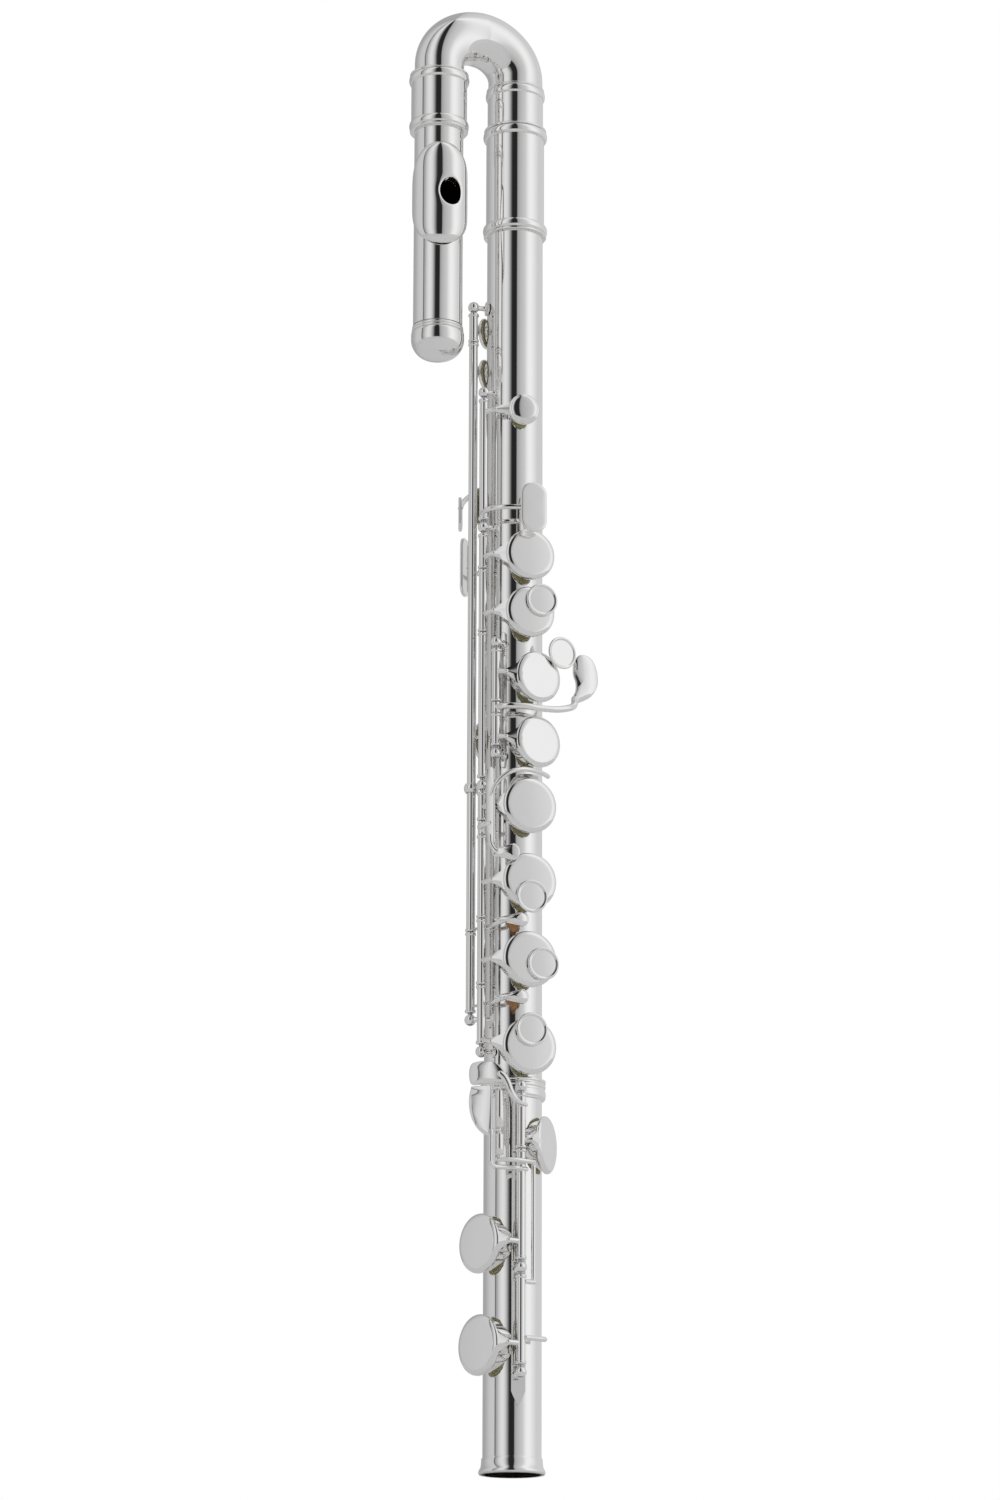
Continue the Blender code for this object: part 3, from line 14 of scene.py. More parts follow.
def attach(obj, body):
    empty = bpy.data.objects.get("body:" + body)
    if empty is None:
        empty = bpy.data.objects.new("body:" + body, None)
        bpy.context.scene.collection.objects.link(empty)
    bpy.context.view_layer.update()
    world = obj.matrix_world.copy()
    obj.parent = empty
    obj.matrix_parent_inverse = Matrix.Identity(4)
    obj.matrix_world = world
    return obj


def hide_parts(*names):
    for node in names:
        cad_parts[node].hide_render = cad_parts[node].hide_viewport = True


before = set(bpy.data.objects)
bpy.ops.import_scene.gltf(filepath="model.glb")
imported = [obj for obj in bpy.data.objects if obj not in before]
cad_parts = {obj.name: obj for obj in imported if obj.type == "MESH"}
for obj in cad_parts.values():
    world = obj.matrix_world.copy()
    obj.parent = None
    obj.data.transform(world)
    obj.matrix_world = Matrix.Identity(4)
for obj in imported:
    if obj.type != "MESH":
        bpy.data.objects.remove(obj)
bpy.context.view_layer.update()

MM = 0.001
GAP = 0.3
UP = Vector((0, 0, 1))

# Tubes
TUBE_R, WALL = 13.45, 0.45
BORE_R = TUBE_R - WALL
BODY_FOOT_Z, BODY_TOP_Z = 173.3, 601.0
SOCKET_R, SOCKET_LOW_Z, SOCKET_HIGH_Z = 15.25, 171.5, 181.0
END_RING_R, END_RING_HEIGHT = 15.3, 7.5
BARREL_R, BARREL_RING_R, BARREL_RING_HEIGHT = 14.1, 15.6, 5.8
BARREL_LOW_Z, BARREL_HIGH_Z = 596.0, 652.0
TENON_R, TENON_DEPTH = 13.25, 44.0
HEAD_SLEEVE_R, HEAD_RING_R = 13.55, 14.5
HEAD_RING_LOW_Z, HEAD_RING_HIGH_Z = 667.7, 673.0
BEND_R, BEND_HEIGHT, BEND_Z = 21.25, 18.6, 677.0
CROOK_START_R, CROOK_END_R = 13.25, 12.0
LEG_X, LEG_R = -2 * BEND_R, 11.85
LEG_LOW_Z, LEG_TOP_Z = 543.3, 664.5
LEG_SLEEVE_R, LEG_SLEEVE_LOW_Z, LEG_SLEEVE_HIGH_Z = 13.55, 642.3, 672.5
LEG_UPPER_RING_R, LEG_LOWER_RING_R, LEG_RING_HEIGHT = 14.65, 14.45, 5.2
BLOW_HOLE_Z, BLOW_HOLE_PHI = 607.0, 6.5
BLOW_HOLE_WIDTH, BLOW_HOLE_LENGTH = 11.4, 13.8
LIP_LENGTH, LIP_SPAN, LIP_LEAN, LIP_TOP_R, LIP_THICKNESS = 52.0, 164.0, 16.0, 16.7, 1.1
CROWN_R, CROWN_HEIGHT = 12.7, 16.5

# Holes, cups and pads
RIM, SMALL_RIM = 14.8, 13.75
CHIMNEY_WALL, HOLE_INSET = 0.6, 2.4
PAD_LIFT, CUP_LIFT, RECESS_LIFT, CUP_HEIGHT, CUP_WALL = 0.3, 0.75, 2.45, 3.25, 0.5
OPEN_ANGLE = 8.5
BUTTON_R, FACE_CROWN = 7.8, 0.24

# Rods as rho and phi, and the rods' own pieces
ROD_R, HINGE_R, HINGE_BORE_R, BALL_R, NECK_R = 1.1, 2.1, 1.4, 2.7, 1.25
STRAP_LOW, STRAP_HIGH = TUBE_R + GAP, 14.65
STRAP_RHO = (STRAP_LOW + STRAP_HIGH) / 2
MAIN_ROD, TRILL_ROD, G_ROD = (19.5, 78.2), (20.7, 103.0), (19.5, 55.0)
THUMB_ROD, FOOT_ROD = (19.5, 192.0), (20.0, 18.5)
MAIN_POSTS = (512.9, 445.4, 319.2, 192.5)
TRILL_TOP_POST_Z, TRILL_LOW_POST_Z, TRILL_BRIDGE_Z = 558.5, 208.6, 319.2
G_POSTS, THUMB_POSTS, FOOT_POSTS = (387.5, 333.5), (485.0, 410.0), (175.3, 92.0, 44.5)

# Keys
A_SHARP_Z, A_Z, G_UPPER_Z, G_LOWER_Z = 430.6, 402.4, 371.3, 339.7
F_SHARP_Z, F_Z, E_Z, D_Z = 308.4, 272.3, 235.2, 194.3
UPPER_CUP_R, LOWER_CUP_R, G_PHI = 12.25, 13.2, -12.0
SMALL_C_Z, SMALL_C_PHI, SMALL_C_R = 503.0, 11.0, 7.5
THUMB_Z, BACK_PHI, BACK_CUP_R, G_SHARP_Z = 462.0, 145.0, 9.5, 345.0
TRILL_PHI, TRILL_CUP_R, TRILL_1_Z, TRILL_2_Z = 139.5, 7.5, 528.0, 549.0
TRILL_1_TOUCH_Z, TRILL_2_TOUCH_Z, SMALL_C_TOUCH_Z = 253.5, 217.0, A_SHARP_Z + 21.4
D_SHARP_Z, D_SHARP_PHI, D_SHARP_R = 150.3, -42.0, 13.35
C_SHARP_Z, C_SHARP_PHI, C_SHARP_R = 103.9, 87.0, 13.7
LOW_C_Z, LOW_C_PHI, LOW_C_R = 57.6, 88.0, 13.95
ROLLER_RHO, ROLLER_PHI, ROLLER_R, ROLLER_PIN_R = 27.0, 45.0, 2.0, 0.7
ROLLER_1, ROLLER_2 = (154.6, 171.8), (142.0, 151.8)
C_SHARP_ARM_Z, LOW_C_ARM_Z = 136.8, 140.2

# Heights where the sections of the hinge tubes meet, and the room that they leave for a post
A_SHARP_LOW_Z, A_LOW_Z, SIDE_HIGH_Z, SIDE_LOW_Z = 424.6, 393.5, 301.8, 295.2
F_LOW_Z, E_LOW_Z = 255.2, 223.8
TRILL_1_HIGH_Z, TRILL_1_LOW_Z, THUMB_SPLIT_Z, D_SHARP_LOW_Z = 540.4, 250.2, 467.2, 146.3
POST_ROOM = BALL_R + 0.6

# Each cup: its rod, its hole's angle and height, its radius, the height of the hole's rim, its turn at rest
CUPS = {
    "a_sharp": (MAIN_ROD, 0.0, A_SHARP_Z, UPPER_CUP_R, RIM, -OPEN_ANGLE),
    "a": (MAIN_ROD, 0.0, A_Z, UPPER_CUP_R, RIM, -OPEN_ANGLE),
    "g_upper": (G_ROD, G_PHI, G_UPPER_Z, UPPER_CUP_R, RIM, -OPEN_ANGLE),
    "g_lower": (G_ROD, G_PHI, G_LOWER_Z, UPPER_CUP_R, RIM, -OPEN_ANGLE),
    "f_sharp": (MAIN_ROD, 0.0, F_SHARP_Z, LOWER_CUP_R, RIM, -OPEN_ANGLE),
    "f": (MAIN_ROD, 0.0, F_Z, LOWER_CUP_R, RIM, -OPEN_ANGLE),
    "e": (MAIN_ROD, 0.0, E_Z, LOWER_CUP_R, RIM, -OPEN_ANGLE),
    "d": (MAIN_ROD, 0.0, D_Z, LOWER_CUP_R, RIM, -OPEN_ANGLE),
    "small_c": (MAIN_ROD, SMALL_C_PHI, SMALL_C_Z, SMALL_C_R, SMALL_RIM, -OPEN_ANGLE),
    "b_thumb": (THUMB_ROD, BACK_PHI, THUMB_Z, BACK_CUP_R, RIM, -OPEN_ANGLE),
    "g_sharp": (MAIN_ROD, BACK_PHI, G_SHARP_Z, BACK_CUP_R, RIM, 0.0),
    "trill_1": (TRILL_ROD, TRILL_PHI, TRILL_1_Z, TRILL_CUP_R, SMALL_RIM, 0.0),
    "trill_2": (TRILL_ROD, TRILL_PHI, TRILL_2_Z, TRILL_CUP_R, SMALL_RIM, 0.0),
    "d_sharp": (FOOT_ROD, D_SHARP_PHI, D_SHARP_Z, D_SHARP_R, RIM, 0.0),
    "c_sharp": (FOOT_ROD, C_SHARP_PHI, C_SHARP_Z, C_SHARP_R, RIM, OPEN_ANGLE),
    "low_c": (FOOT_ROD, LOW_C_PHI, LOW_C_Z, LOW_C_R, RIM, OPEN_ANGLE),
}
FOOT_CUPS = ("d_sharp", "c_sharp", "low_c")

# Sides of round shapes, and the bend from which an edge is shaded sharp
TUBE_SIDES, CUP_SIDES, HOLE_SIDES, HINGE_SIDES, ROD_SIDES, WIRE_SIDES = 96, 64, 48, 28, 20, 14
SHARP_ANGLE = 38


# Places

def spot(rho, phi, z):
    """The point at distance rho from the tube's axis, at angle phi, at height z."""
    angle = math.radians(phi)
    return Vector((-rho * math.sin(angle), -rho * math.cos(angle), z))


def seat(phi, z):
    """A frame on the tube's axis with its Z pointing outwards at phi and its Y up the tube."""
    outward = spot(1, phi, 0)
    turn = Matrix((UP.cross(outward), UP, outward)).transposed().to_4x4()
    return Matrix.Translation((0, 0, z)) @ turn


def on_leg(place=Matrix()):
    """The same frame moved from the body's axis to the head leg's axis."""
    return Matrix.Translation((LEG_X, 0, 0)) @ place


def rod_point(rod, z):
    return spot(rod[0], rod[1], z)


def at_rod(rod):
    return Matrix.Translation(rod_point(rod, 0))


def swung(name):
    """The turn about its rod that takes a key from closed to where its cup rests."""
    rod, angle = CUPS[name][0], CUPS[name][-1]
    return at_rod(rod) @ Matrix.Rotation(math.radians(angle), 4, "Z") @ at_rod(rod).inverted()


# Shapes, each added to a bmesh as one closed shell

def skin(bm, rings, loop=False):
    """Faces between rings of points, where one point is a tip. Ends are capped unless the rings loop."""
    made = [[bm.verts.new(p) for p in ring] for ring in rings]
    pairs = list(zip(made, made[1:]))
    if loop:
        pairs.append((made[-1], made[0]))
    for near, far in pairs:
        count = max(len(near), len(far))
        for i in range(count):
            j = (i + 1) % count
            corners = [near[i % len(near)], near[j % len(near)], far[j % len(far)], far[i % len(far)]]
            bm.faces.new(list(dict.fromkeys(corners)))
    if not loop:
        for end in (made[0], made[-1]):
            if len(end) > 2:
                bm.faces.new(end)


def turned(bm, profile, place=Matrix(), sides=CUP_SIDES, loop=False):
    """A profile of (radius, height) turned about the Z of its place."""
    turns = [2 * math.pi * i / sides for i in range(sides)]
    rings = []
    for r, h in profile:
        if r < 1e-6:
            rings.append([place @ Vector((0, 0, h))])
        else:
            rings.append([place @ Vector((r * math.cos(a), r * math.sin(a), h)) for a in turns])
    skin(bm, rings, loop)


def rounded(profile, radius, steps=2):
    """A closed profile with its corners rounded by arcs of about that radius."""
    result = []
    for i, place in enumerate(profile):
        corner = Vector(place)
        before = Vector(profile[i - 1]) - corner
        after = Vector(profile[(i + 1) % len(profile)]) - corner
        cut = min(radius, before.length * 0.45, after.length * 0.45)
        start = corner + before.normalized() * cut
        end = corner + after.normalized() * cut
        for k in range(steps + 1):
            t = k / steps
            point = start * (1 - t) ** 2 + corner * 2 * t * (1 - t) + end * t ** 2
            result.append((point.x, point.y))
    return result


def curve_point(a, b, c, d, t):
    """A point on the smooth curve from b to c, with a and d as its neighbours."""
    bend, twist = 2 * a - 5 * b + 4 * c - d, 3 * b - a - 3 * c + d
    return 0.5 * (2 * b + (c - a) * t + bend * t * t + twist * t ** 3)


def smooth_path(points, steps):
    """Points on a smooth curve through the given ones, steps to each span."""
    padded = [2 * points[0] - points[1], *points, 2 * points[-1] - points[-2]]
    path = []
    for a, b, c, d in zip(padded, padded[1:], padded[2:], padded[3:]):
        path += [curve_point(a, b, c, d, i / steps) for i in range(steps)]
    return path + [points[-1]]


def sweep(bm, points, radius, end_radius=None):
    """A round wire along points, tapering to end_radius, with domed ends."""
    last = len(points) - 1
    end_radius = radius if end_radius is None else end_radius
    side = (points[1] - points[0]).normalized().orthogonal().normalized()
    arc = [math.radians(a) for a in (80, 50, 20)]
    stations = [(0, math.cos(a), -math.sin(a)) for a in arc] + [(i, 1.0, 0.0) for i in range(last + 1)]
    stations += [(last, math.cos(a), math.sin(a)) for a in reversed(arc)]
    turns = [2 * math.pi * k / WIRE_SIDES for k in range(WIRE_SIDES)]
    rings = []
    for i, scale, shift in stations:
        near, far = points[max(i - 1, 0)], points[min(i + 1, last)]
        ahead = (far - near).normalized()
        side = (side - ahead * side.dot(ahead)).normalized()
        other = ahead.cross(side)
        r = radius + (end_radius - radius) * i / last
        centre = points[i] + ahead * shift * r
        rings.append([centre + scale * r * (side * math.cos(t) + other * math.sin(t)) for t in turns])
    skin(bm, rings)


def plate(bm, outline, thickness, lay, edge=0.45, shrinks=(0.82, 0.6, 0.36, 0.14), crown=0.0):
    """A plate of an outline in x and y with rounded edges, laid by lay(x, y, h). crown raises its middle."""
    count = len(outline)
    half = thickness / 2
    middle = (sum(p[0] for p in outline) / count, sum(p[1] for p in outline) / count)

    def ring(inset, height):
        points = []
        for i, (x, y) in enumerate(outline):
            ax, ay = outline[i - 1]
            bx, by = outline[(i + 1) % count]
            along = Vector((bx - ax, by - ay)).normalized()
            points.append(lay(x - along.y * inset, y + along.x * inset, height))
        return points

    def inner(share, height):
        return [lay(middle[0] + (x - middle[0]) * share, middle[1] + (y - middle[1]) * share,
                    height + crown * (1 - share * share)) for x, y in outline]

    arc = [math.radians(a) for a in (0, 30, 60, 90)]
    top_edge = [ring(edge * (1 - math.cos(a)), half - edge * (1 - math.sin(a))) for a in arc]
    low_edge = [ring(edge * (1 - math.cos(a)), -half + edge * (1 - math.sin(a))) for a in reversed(arc)]
    top = [inner(s, half) for s in shrinks]
    low = [inner(s, -half) for s in reversed(shrinks)]
    rings = [[lay(*middle, -half + crown)], *low, *low_edge, *top_edge, *top, [lay(*middle, half + crown)]]
    skin(bm, rings)


def wrapped(rho, phi, z):
    """Lays a plate round the tube: x towards larger phi, y up, h outwards."""
    return lambda x, y, h: spot(rho + h, phi + math.degrees(x / rho), z + y)


def flat(rho, phi, z, facing):
    """Lays a plate flat at a place, its top towards the angle facing."""
    place = Matrix.Translation(spot(rho, phi, z)) @ seat(facing, 0)
    return lambda x, y, h: place @ Vector((x, y, h))


def counter_clockwise(outline):
    area = sum(ax * by - bx * ay for (ax, ay), (bx, by) in zip(outline, outline[1:] + outline[:1]))
    return outline if area > 0 else outline[::-1]


def oval(width, height, points=40):
    turns = [2 * math.pi * i / points for i in range(points)]
    return [(width / 2 * math.cos(a), height / 2 * math.sin(a)) for a in turns]


def slot_outline(width, height, points=12):
    """A rectangle whose short ends are half circles."""
    r = min(width, height) / 2
    outline = []
    for centre, start in ((1, -90), (-1, 90)):
        for i in range(points + 1):
            a = math.radians(start + 180 * i / points)
            x, y = r * math.cos(a), r * math.sin(a)
            if width >= height:
                outline.append((centre * (width / 2 - r) + x, y))
            else:
                outline.append((-y, centre * (height / 2 - r) + x))
    return outline


def teardrop(length, wide_r, narrow_r):
    """A drop along X, its wide end at -X."""
    wide_x, narrow_x, steps = length / 2 - wide_r, narrow_r - length / 2, 24
    lean = math.degrees(math.acos((wide_r - narrow_r) / (wide_x - narrow_x)))
    ends = [(wide_x, wide_r, -lean + 2 * lean * i / steps) for i in range(steps + 1)]
    ends += [(narrow_x, narrow_r, lean + (360 - 2 * lean) * i / (steps // 2)) for i in range(steps // 2 + 1)]
    places = [(x + r * math.cos(math.radians(a)), r * math.sin(math.radians(a))) for x, r, a in ends]
    return [(-x, y) for x, y in reversed(places)]


def rounded_box(width, height, radius, points=8):
    outline = []
    for i, (sx, sy) in enumerate(((1, 1), (-1, 1), (-1, -1), (1, -1))):
        for j in range(points + 1):
            a = math.radians(90 * i + 90 * j / points)
            outline.append((sx * (width / 2 - radius) + radius * math.cos(a),
                            sy * (height / 2 - radius) + radius * math.sin(a)))
    return outline


def closed_curve(points, steps=5):
    """A smooth closed outline through the given places, anticlockwise."""
    count = len(points)
    outline = []
    for i in range(count):
        a, b, c, d = (Vector(points[(i + k) % count]) for k in (-1, 0, 1, 2))
        for step in range(steps):
            t = step / steps
            p = curve_point(a, b, c, d, t)
            outline.append((p.x, p.y))
    return counter_clockwise(outline)


# Finished pieces

def linked(bm, name):
    """A bmesh as an object in the scene."""
    mesh = bpy.data.meshes.new(name)
    bm.to_mesh(mesh)
    bm.free()
    obj = bpy.data.objects.new(name, mesh)
    bpy.context.scene.collection.objects.link(obj)
    return obj


def smoothed(bm, name):
    """A bmesh in millimetres as a smooth-shaded object in metres."""
    bmesh.ops.remove_doubles(bm, verts=bm.verts, dist=0.0004)
    bmesh.ops.recalc_face_normals(bm, faces=bm.faces)
    bmesh.ops.scale(bm, vec=(MM, MM, MM), verts=bm.verts)
    obj = linked(bm, name)
    obj.data.shade_smooth()
    obj.data.set_sharp_from_angle(angle=math.radians(SHARP_ANGLE))
    return obj


def dressed(obj, material, slot, body, *nodes):
    """Give a piece its finish and the body that it rides on, in place of the CAD nodes."""
    if not obj.data.materials:
        obj.data.materials.append(material)
    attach(obj, body)
    if nodes:
        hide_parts(*nodes)


def finished(bm, node, slot, body, material=None):
    """A piece in place of the CAD node of that name."""
    dressed(smoothed(bm, f"{node}_fine"), material or SILVER, slot, body, node)


def turned_piece(node, body, profile, place=Matrix(), loop=True):
    """A turned piece of the tube in place of the CAD node of that name."""
    bm = bmesh.new()
    turned(bm, profile, place, TUBE_SIDES, loop)
    finished(bm, node, "tube_plate", body)


def as_object(bm):
    """A bmesh as a plain object in millimetres, for a boolean."""
    bmesh.ops.recalc_face_normals(bm, faces=bm.faces)
    return linked(bm, "shape")


def as_bmesh(obj):
    """A boolean's result as a bmesh again."""
    bm = bmesh.new()
    bm.from_mesh(obj.data)
    bpy.data.objects.remove(obj)
    return bm


def combined(target, other, operation):
    modifier = target.modifiers.new(operation, "BOOLEAN")
    modifier.operation = operation
    modifier.solver = "EXACT"
    modifier.object = other
    bpy.context.view_layer.update()
    mesh = bpy.data.meshes.new_from_object(target.evaluated_get(bpy.context.evaluated_depsgraph_get()))
    target.modifiers.clear()
    target.data = mesh
    bpy.data.objects.remove(other)
    return target


def round_normals(obj, axis_x, radii, bore_slot=None):
    """Shade a drilled tube as truly round: faces on one of the radii get normals straight from the axis.

    Faces on the bore take the material slot bore_slot.
    """
    mesh = obj.data
    normals = [c.vector.copy() for c in mesh.corner_normals]
    slack, axis = 0.02 * MM, Vector((axis_x * MM, 0, 0))
    for face in mesh.polygons:
        spokes = [mesh.vertices[v].co - axis for v in face.vertices]
        spans = [math.hypot(s.x, s.y) for s in spokes]
        upright = abs(face.normal.z) < 0.1
        if upright and any(all(abs(s - radius * MM) < slack for s in spans) for radius in radii):
            middle = face.center - axis
            sign = 1 if face.normal.dot(Vector((middle.x, middle.y, 0))) > 0 else -1
            for corner, s in zip(face.loop_indices, spokes):
                normals[corner] = sign * Vector((s.x, s.y, 0)).normalized()
        if bore_slot is not None and max(spans) < (BORE_R + 0.1) * MM:
            face.material_index = bore_slot
    mesh.normals_split_custom_set(normals)


# Finishes

def new_material(name):
    material = bpy.data.materials.new(name)
    material.use_nodes = True
    return material, material.node_tree.nodes, material.node_tree.links


def shader_node(nodes, kind, **inputs):
    """A new shader node with its inputs set. An underscore in a name stands for a space."""
    node = nodes.new("ShaderNode" + kind)
    for name, value in inputs.items():
        node.inputs[name.replace("_", " ")].default_value = value
    return node


def finish(name, base, metallic, roughness, variation, scale, bump, bump_scale=None):
    """A procedural finish: noise varies its colour and roughness, and a finer noise its relief."""
    material, nodes, links = new_material(name)
    shader = nodes["Principled BSDF"]
    shader.inputs["Metallic"].default_value = metallic
    place = shader_node(nodes, "TexCoord").outputs["Object"]
    noise = shader_node(nodes, "TexNoise", Scale=scale, Detail=4.0)
    tint = shader_node(nodes, "Mix")
    tint.data_type = "RGBA"
    tint.inputs["A"].default_value = (*(c * (1 - variation) for c in base), 1)
    tint.inputs["B"].default_value = (*(min(1.0, c * (1 + variation)) for c in base), 1)
    least, most = roughness
    rough = shader_node(nodes, "MapRange", From_Min=0.3, From_Max=0.7, To_Min=least, To_Max=most)
    fine = shader_node(nodes, "TexNoise", Scale=bump_scale or scale * 12, Detail=4.0)
    relief = shader_node(nodes, "Bump", Strength=bump[0], Distance=bump[1] * MM)
    links.new(place, noise.inputs["Vector"])
    links.new(place, fine.inputs["Vector"])
    links.new(noise.outputs["Fac"], tint.inputs["Factor"])
    links.new(noise.outputs["Fac"], rough.inputs["Value"])
    links.new(fine.outputs["Fac"], relief.inputs["Height"])
    links.new(tint.outputs["Result"], shader.inputs["Base Color"])
    links.new(rough.outputs["Result"], shader.inputs["Roughness"])
    links.new(relief.outputs["Normal"], shader.inputs["Normal"])
    return material


SILVER = finish("silver_plate", (0.90, 0.895, 0.885), 1.0, (0.035, 0.075), 0.015, 55.0, (0.06, 0.02))
# The bore's silver is darkened to a dull brown: painted shade inside the tube, where the silver only mirrors
# itself.
BORE = finish("bore_silver_painted_shade", (0.55, 0.50, 0.44), 1.0, (0.30, 0.45), 0.08, 90.0, (0.15, 0.05))
STEEL = finish("blued_steel", (0.50, 0.52, 0.56), 1.0, (0.16, 0.26), 0.05, 120.0, (0.12, 0.03))
SKIN = finish("pad_skin", (0.58, 0.54, 0.30), 0.0, (0.38, 0.60), 0.10, 260.0, (0.45, 0.12), bump_scale=900.0)
CORK = finish("cork", (0.38, 0.19, 0.08), 0.0, (0.75, 0.95), 0.35, 1400.0, (0.8, 0.15), bump_scale=2200.0)


# Body, foot and barrel

def drilled(name, outside, bore, cups):
    """A bored tube, turned, with a drawn tone hole under each of the cups. Each chimney has a rolled rim."""
    shell, chimneys, air, cuts = (bmesh.new() for _ in range(4))
    turned(shell, outside, sides=TUBE_SIDES)
    turned(air, bore, sides=TUBE_SIDES)
    roll = CHIMNEY_WALL / 2
    for cup_name in cups:
        phi, z, cup_r, rim = CUPS[cup_name][1:5]
        r = cup_r - HOLE_INSET
        low = r * 0.45
        chimney = [(0, rim), (r, rim), (r + roll, rim - 0.08), (r + CHIMNEY_WALL, rim - roll),
                   (r + CHIMNEY_WALL, low), (0, low)]
        turned(chimneys, chimney, seat(phi, z), HOLE_SIDES)
        cut = [(0, rim + 2), (r, rim + 2), (r, low * 0.7), (0, low * 0.7)]
        turned(cuts, cut, seat(phi, z), HOLE_SIDES)
    tube = combined(as_object(shell), as_object(chimneys), "UNION")
    tube = combined(tube, as_object(air), "DIFFERENCE")
    tube = combined(tube, as_object(cuts), "DIFFERENCE")
    obj = smoothed(as_bmesh(tube), name)
    obj.data.materials.append(SILVER)
    # Second slot: the darkened bore silver, painted shade inside the tube.
    obj.data.materials.append(BORE)
    round_normals(obj, 0.0, (TUBE_R, BORE_R), bore_slot=1)
    return obj


def bead(low, high, radius, rest, edge=0.5):
    """A rounded ring on a turned piece, as a profile from its top down."""
    half = (high - low) / 2
    middle = (high + low) / 2
    turns = [math.radians(a) for a in range(80, -81, -16)]
    curve = [(radius - edge + edge * math.cos(t), middle + half * math.sin(t)) for t in turns]
    return [(rest, high), *curve, (rest, low)]


def make_body_tube():
    outside = [(0, BODY_TOP_Z), (TUBE_R, BODY_TOP_Z), (TUBE_R, BODY_FOOT_Z), (0, BODY_FOOT_Z)]
    bore = [(0, BODY_TOP_Z + 1), (BORE_R, BODY_TOP_Z + 1), (BORE_R, BODY_FOOT_Z - 1), (0, BODY_FOOT_Z - 1)]
    obj = drilled("body_tube_fine", outside, bore, [name for name in CUPS if name not in FOOT_CUPS])
    dressed(obj, SILVER, "tube_plate", "body", "body_tube")


def make_foot_tube():
    """The foot tube with its socket: a rolled upper edge, two bands and a thick lower bead."""
    top, low = SOCKET_HIGH_Z, SOCKET_LOW_Z
    rest = SOCKET_R - 0.55
    outside = [(0, top), (SOCKET_R - 0.5, top), (SOCKET_R - 0.12, top - 0.15), (SOCKET_R, top - 0.5)]
    outside += [(SOCKET_R, top - 1.2), (SOCKET_R - 0.15, top - 1.5), (rest, top - 1.6)]
    outside += bead(top - 4.0, top - 2.2, SOCKET_R - 0.05, rest, 0.4)
    outside += bead(low + 0.7, low + 4.6, SOCKET_R, rest, 0.45)
    outside += [(rest, low + 0.4), (TUBE_R + 0.5, low), (TUBE_R, low - 0.05), (TUBE_R, 0), (0, 0)]
    shoulder = BODY_FOOT_Z - GAP
    room = TUBE_R + GAP
    bore = [(0, top + 1), (room, top + 1), (room, shoulder), (BORE_R, shoulder), (BORE_R, -1), (0, -1)]
    obj = drilled("foot_tube_fine", outside, bore, FOOT_CUPS)
    bm = bmesh.new()
    post(bm, FOOT_ROD, FOOT_POSTS[0], FOOT_ROD[1], base_rho=SOCKET_R - 0.2)
    dressed(smoothed(bm, "foot_top_post"), SILVER, "tube_plate", "foot")
    dressed(obj, SILVER, "tube_plate", "foot", "foot_tube")


def make_end_ring():
    """The foot's end ring: a collar that flares to a bead at its lower edge."""
    inner, outer, top = TUBE_R + 0.05, END_RING_R, END_RING_HEIGHT
    profile = [(inner, top), (inner + 0.35, top), (inner + 0.45, top - 0.15), (inner + 0.5, top - 1.6),
               (inner + 0.62, top - 3.0), (outer - 0.95, 3.3), (outer - 0.45, 2.4), (outer - 0.12, 1.8),
               (outer, 1.2), (outer - 0.05, 0.6), (outer - 0.3, 0.15), (outer - 0.6, 0.0), (inner, 0.0)]
    turned_piece("foot_end_ring", "foot", profile)


def make_barrel():
    """The barrel: a ring at each end, made of a thin bead line and a broad bead, and a bare middle."""
    low, high, ring = BARREL_LOW_Z, BARREL_HIGH_Z, BARREL_RING_HEIGHT
    room, seat_r, floor_z = TENON_R + 0.35, TUBE_R + 0.04, BODY_TOP_Z + 0.2
    profile = [(room, high), (BARREL_RING_R - 1.0, high)]
    profile += bead(high - 1.3, high - 0.1, BARREL_RING_R - 0.4, BARREL_R + 0.3, 0.5)
    profile += bead(high - ring, high - 1.4, BARREL_RING_R, BARREL_R, 1.2)
    profile += bead(low + 1.4, low + ring, BARREL_RING_R, BARREL_R, 1.2)
    profile += bead(low + 0.1, low + 1.3, BARREL_RING_R - 0.4, BARREL_R + 0.3, 0.5)
    profile += [(BARREL_RING_R - 1.0, low), (seat_r, low), (seat_r, floor_z), (room, floor_z)]
    turned_piece("barrel", "body", profile)


# Head

def make_head_tenon():
    """The tenon that slides in the barrel, with the sleeve and ring that take the crook."""
    inner, seat_r, sleeve = TENON_R - WALL, CROOK_START_R + 0.03, HEAD_SLEEVE_R
    low, high, meet = BARREL_HIGH_Z - TENON_DEPTH, HEAD_RING_HIGH_Z, BARREL_HIGH_Z + GAP
    profile = [(seat_r, high), (HEAD_RING_R - 0.7, high)]
    profile += bead(high - 1.1, high - 0.1, HEAD_RING_R - 0.35, sleeve + 0.2, 0.4)
    profile += bead(HEAD_RING_LOW_Z, high - 1.2, HEAD_RING_R, sleeve, 0.9)
    profile += [(sleeve, meet), (TENON_R, meet - 0.05), (TENON_R, low), (inner, low), (inner, high - 2.0),
                (seat_r, high - 2.0)]
    turned_piece("head_tenon", "head", profile)


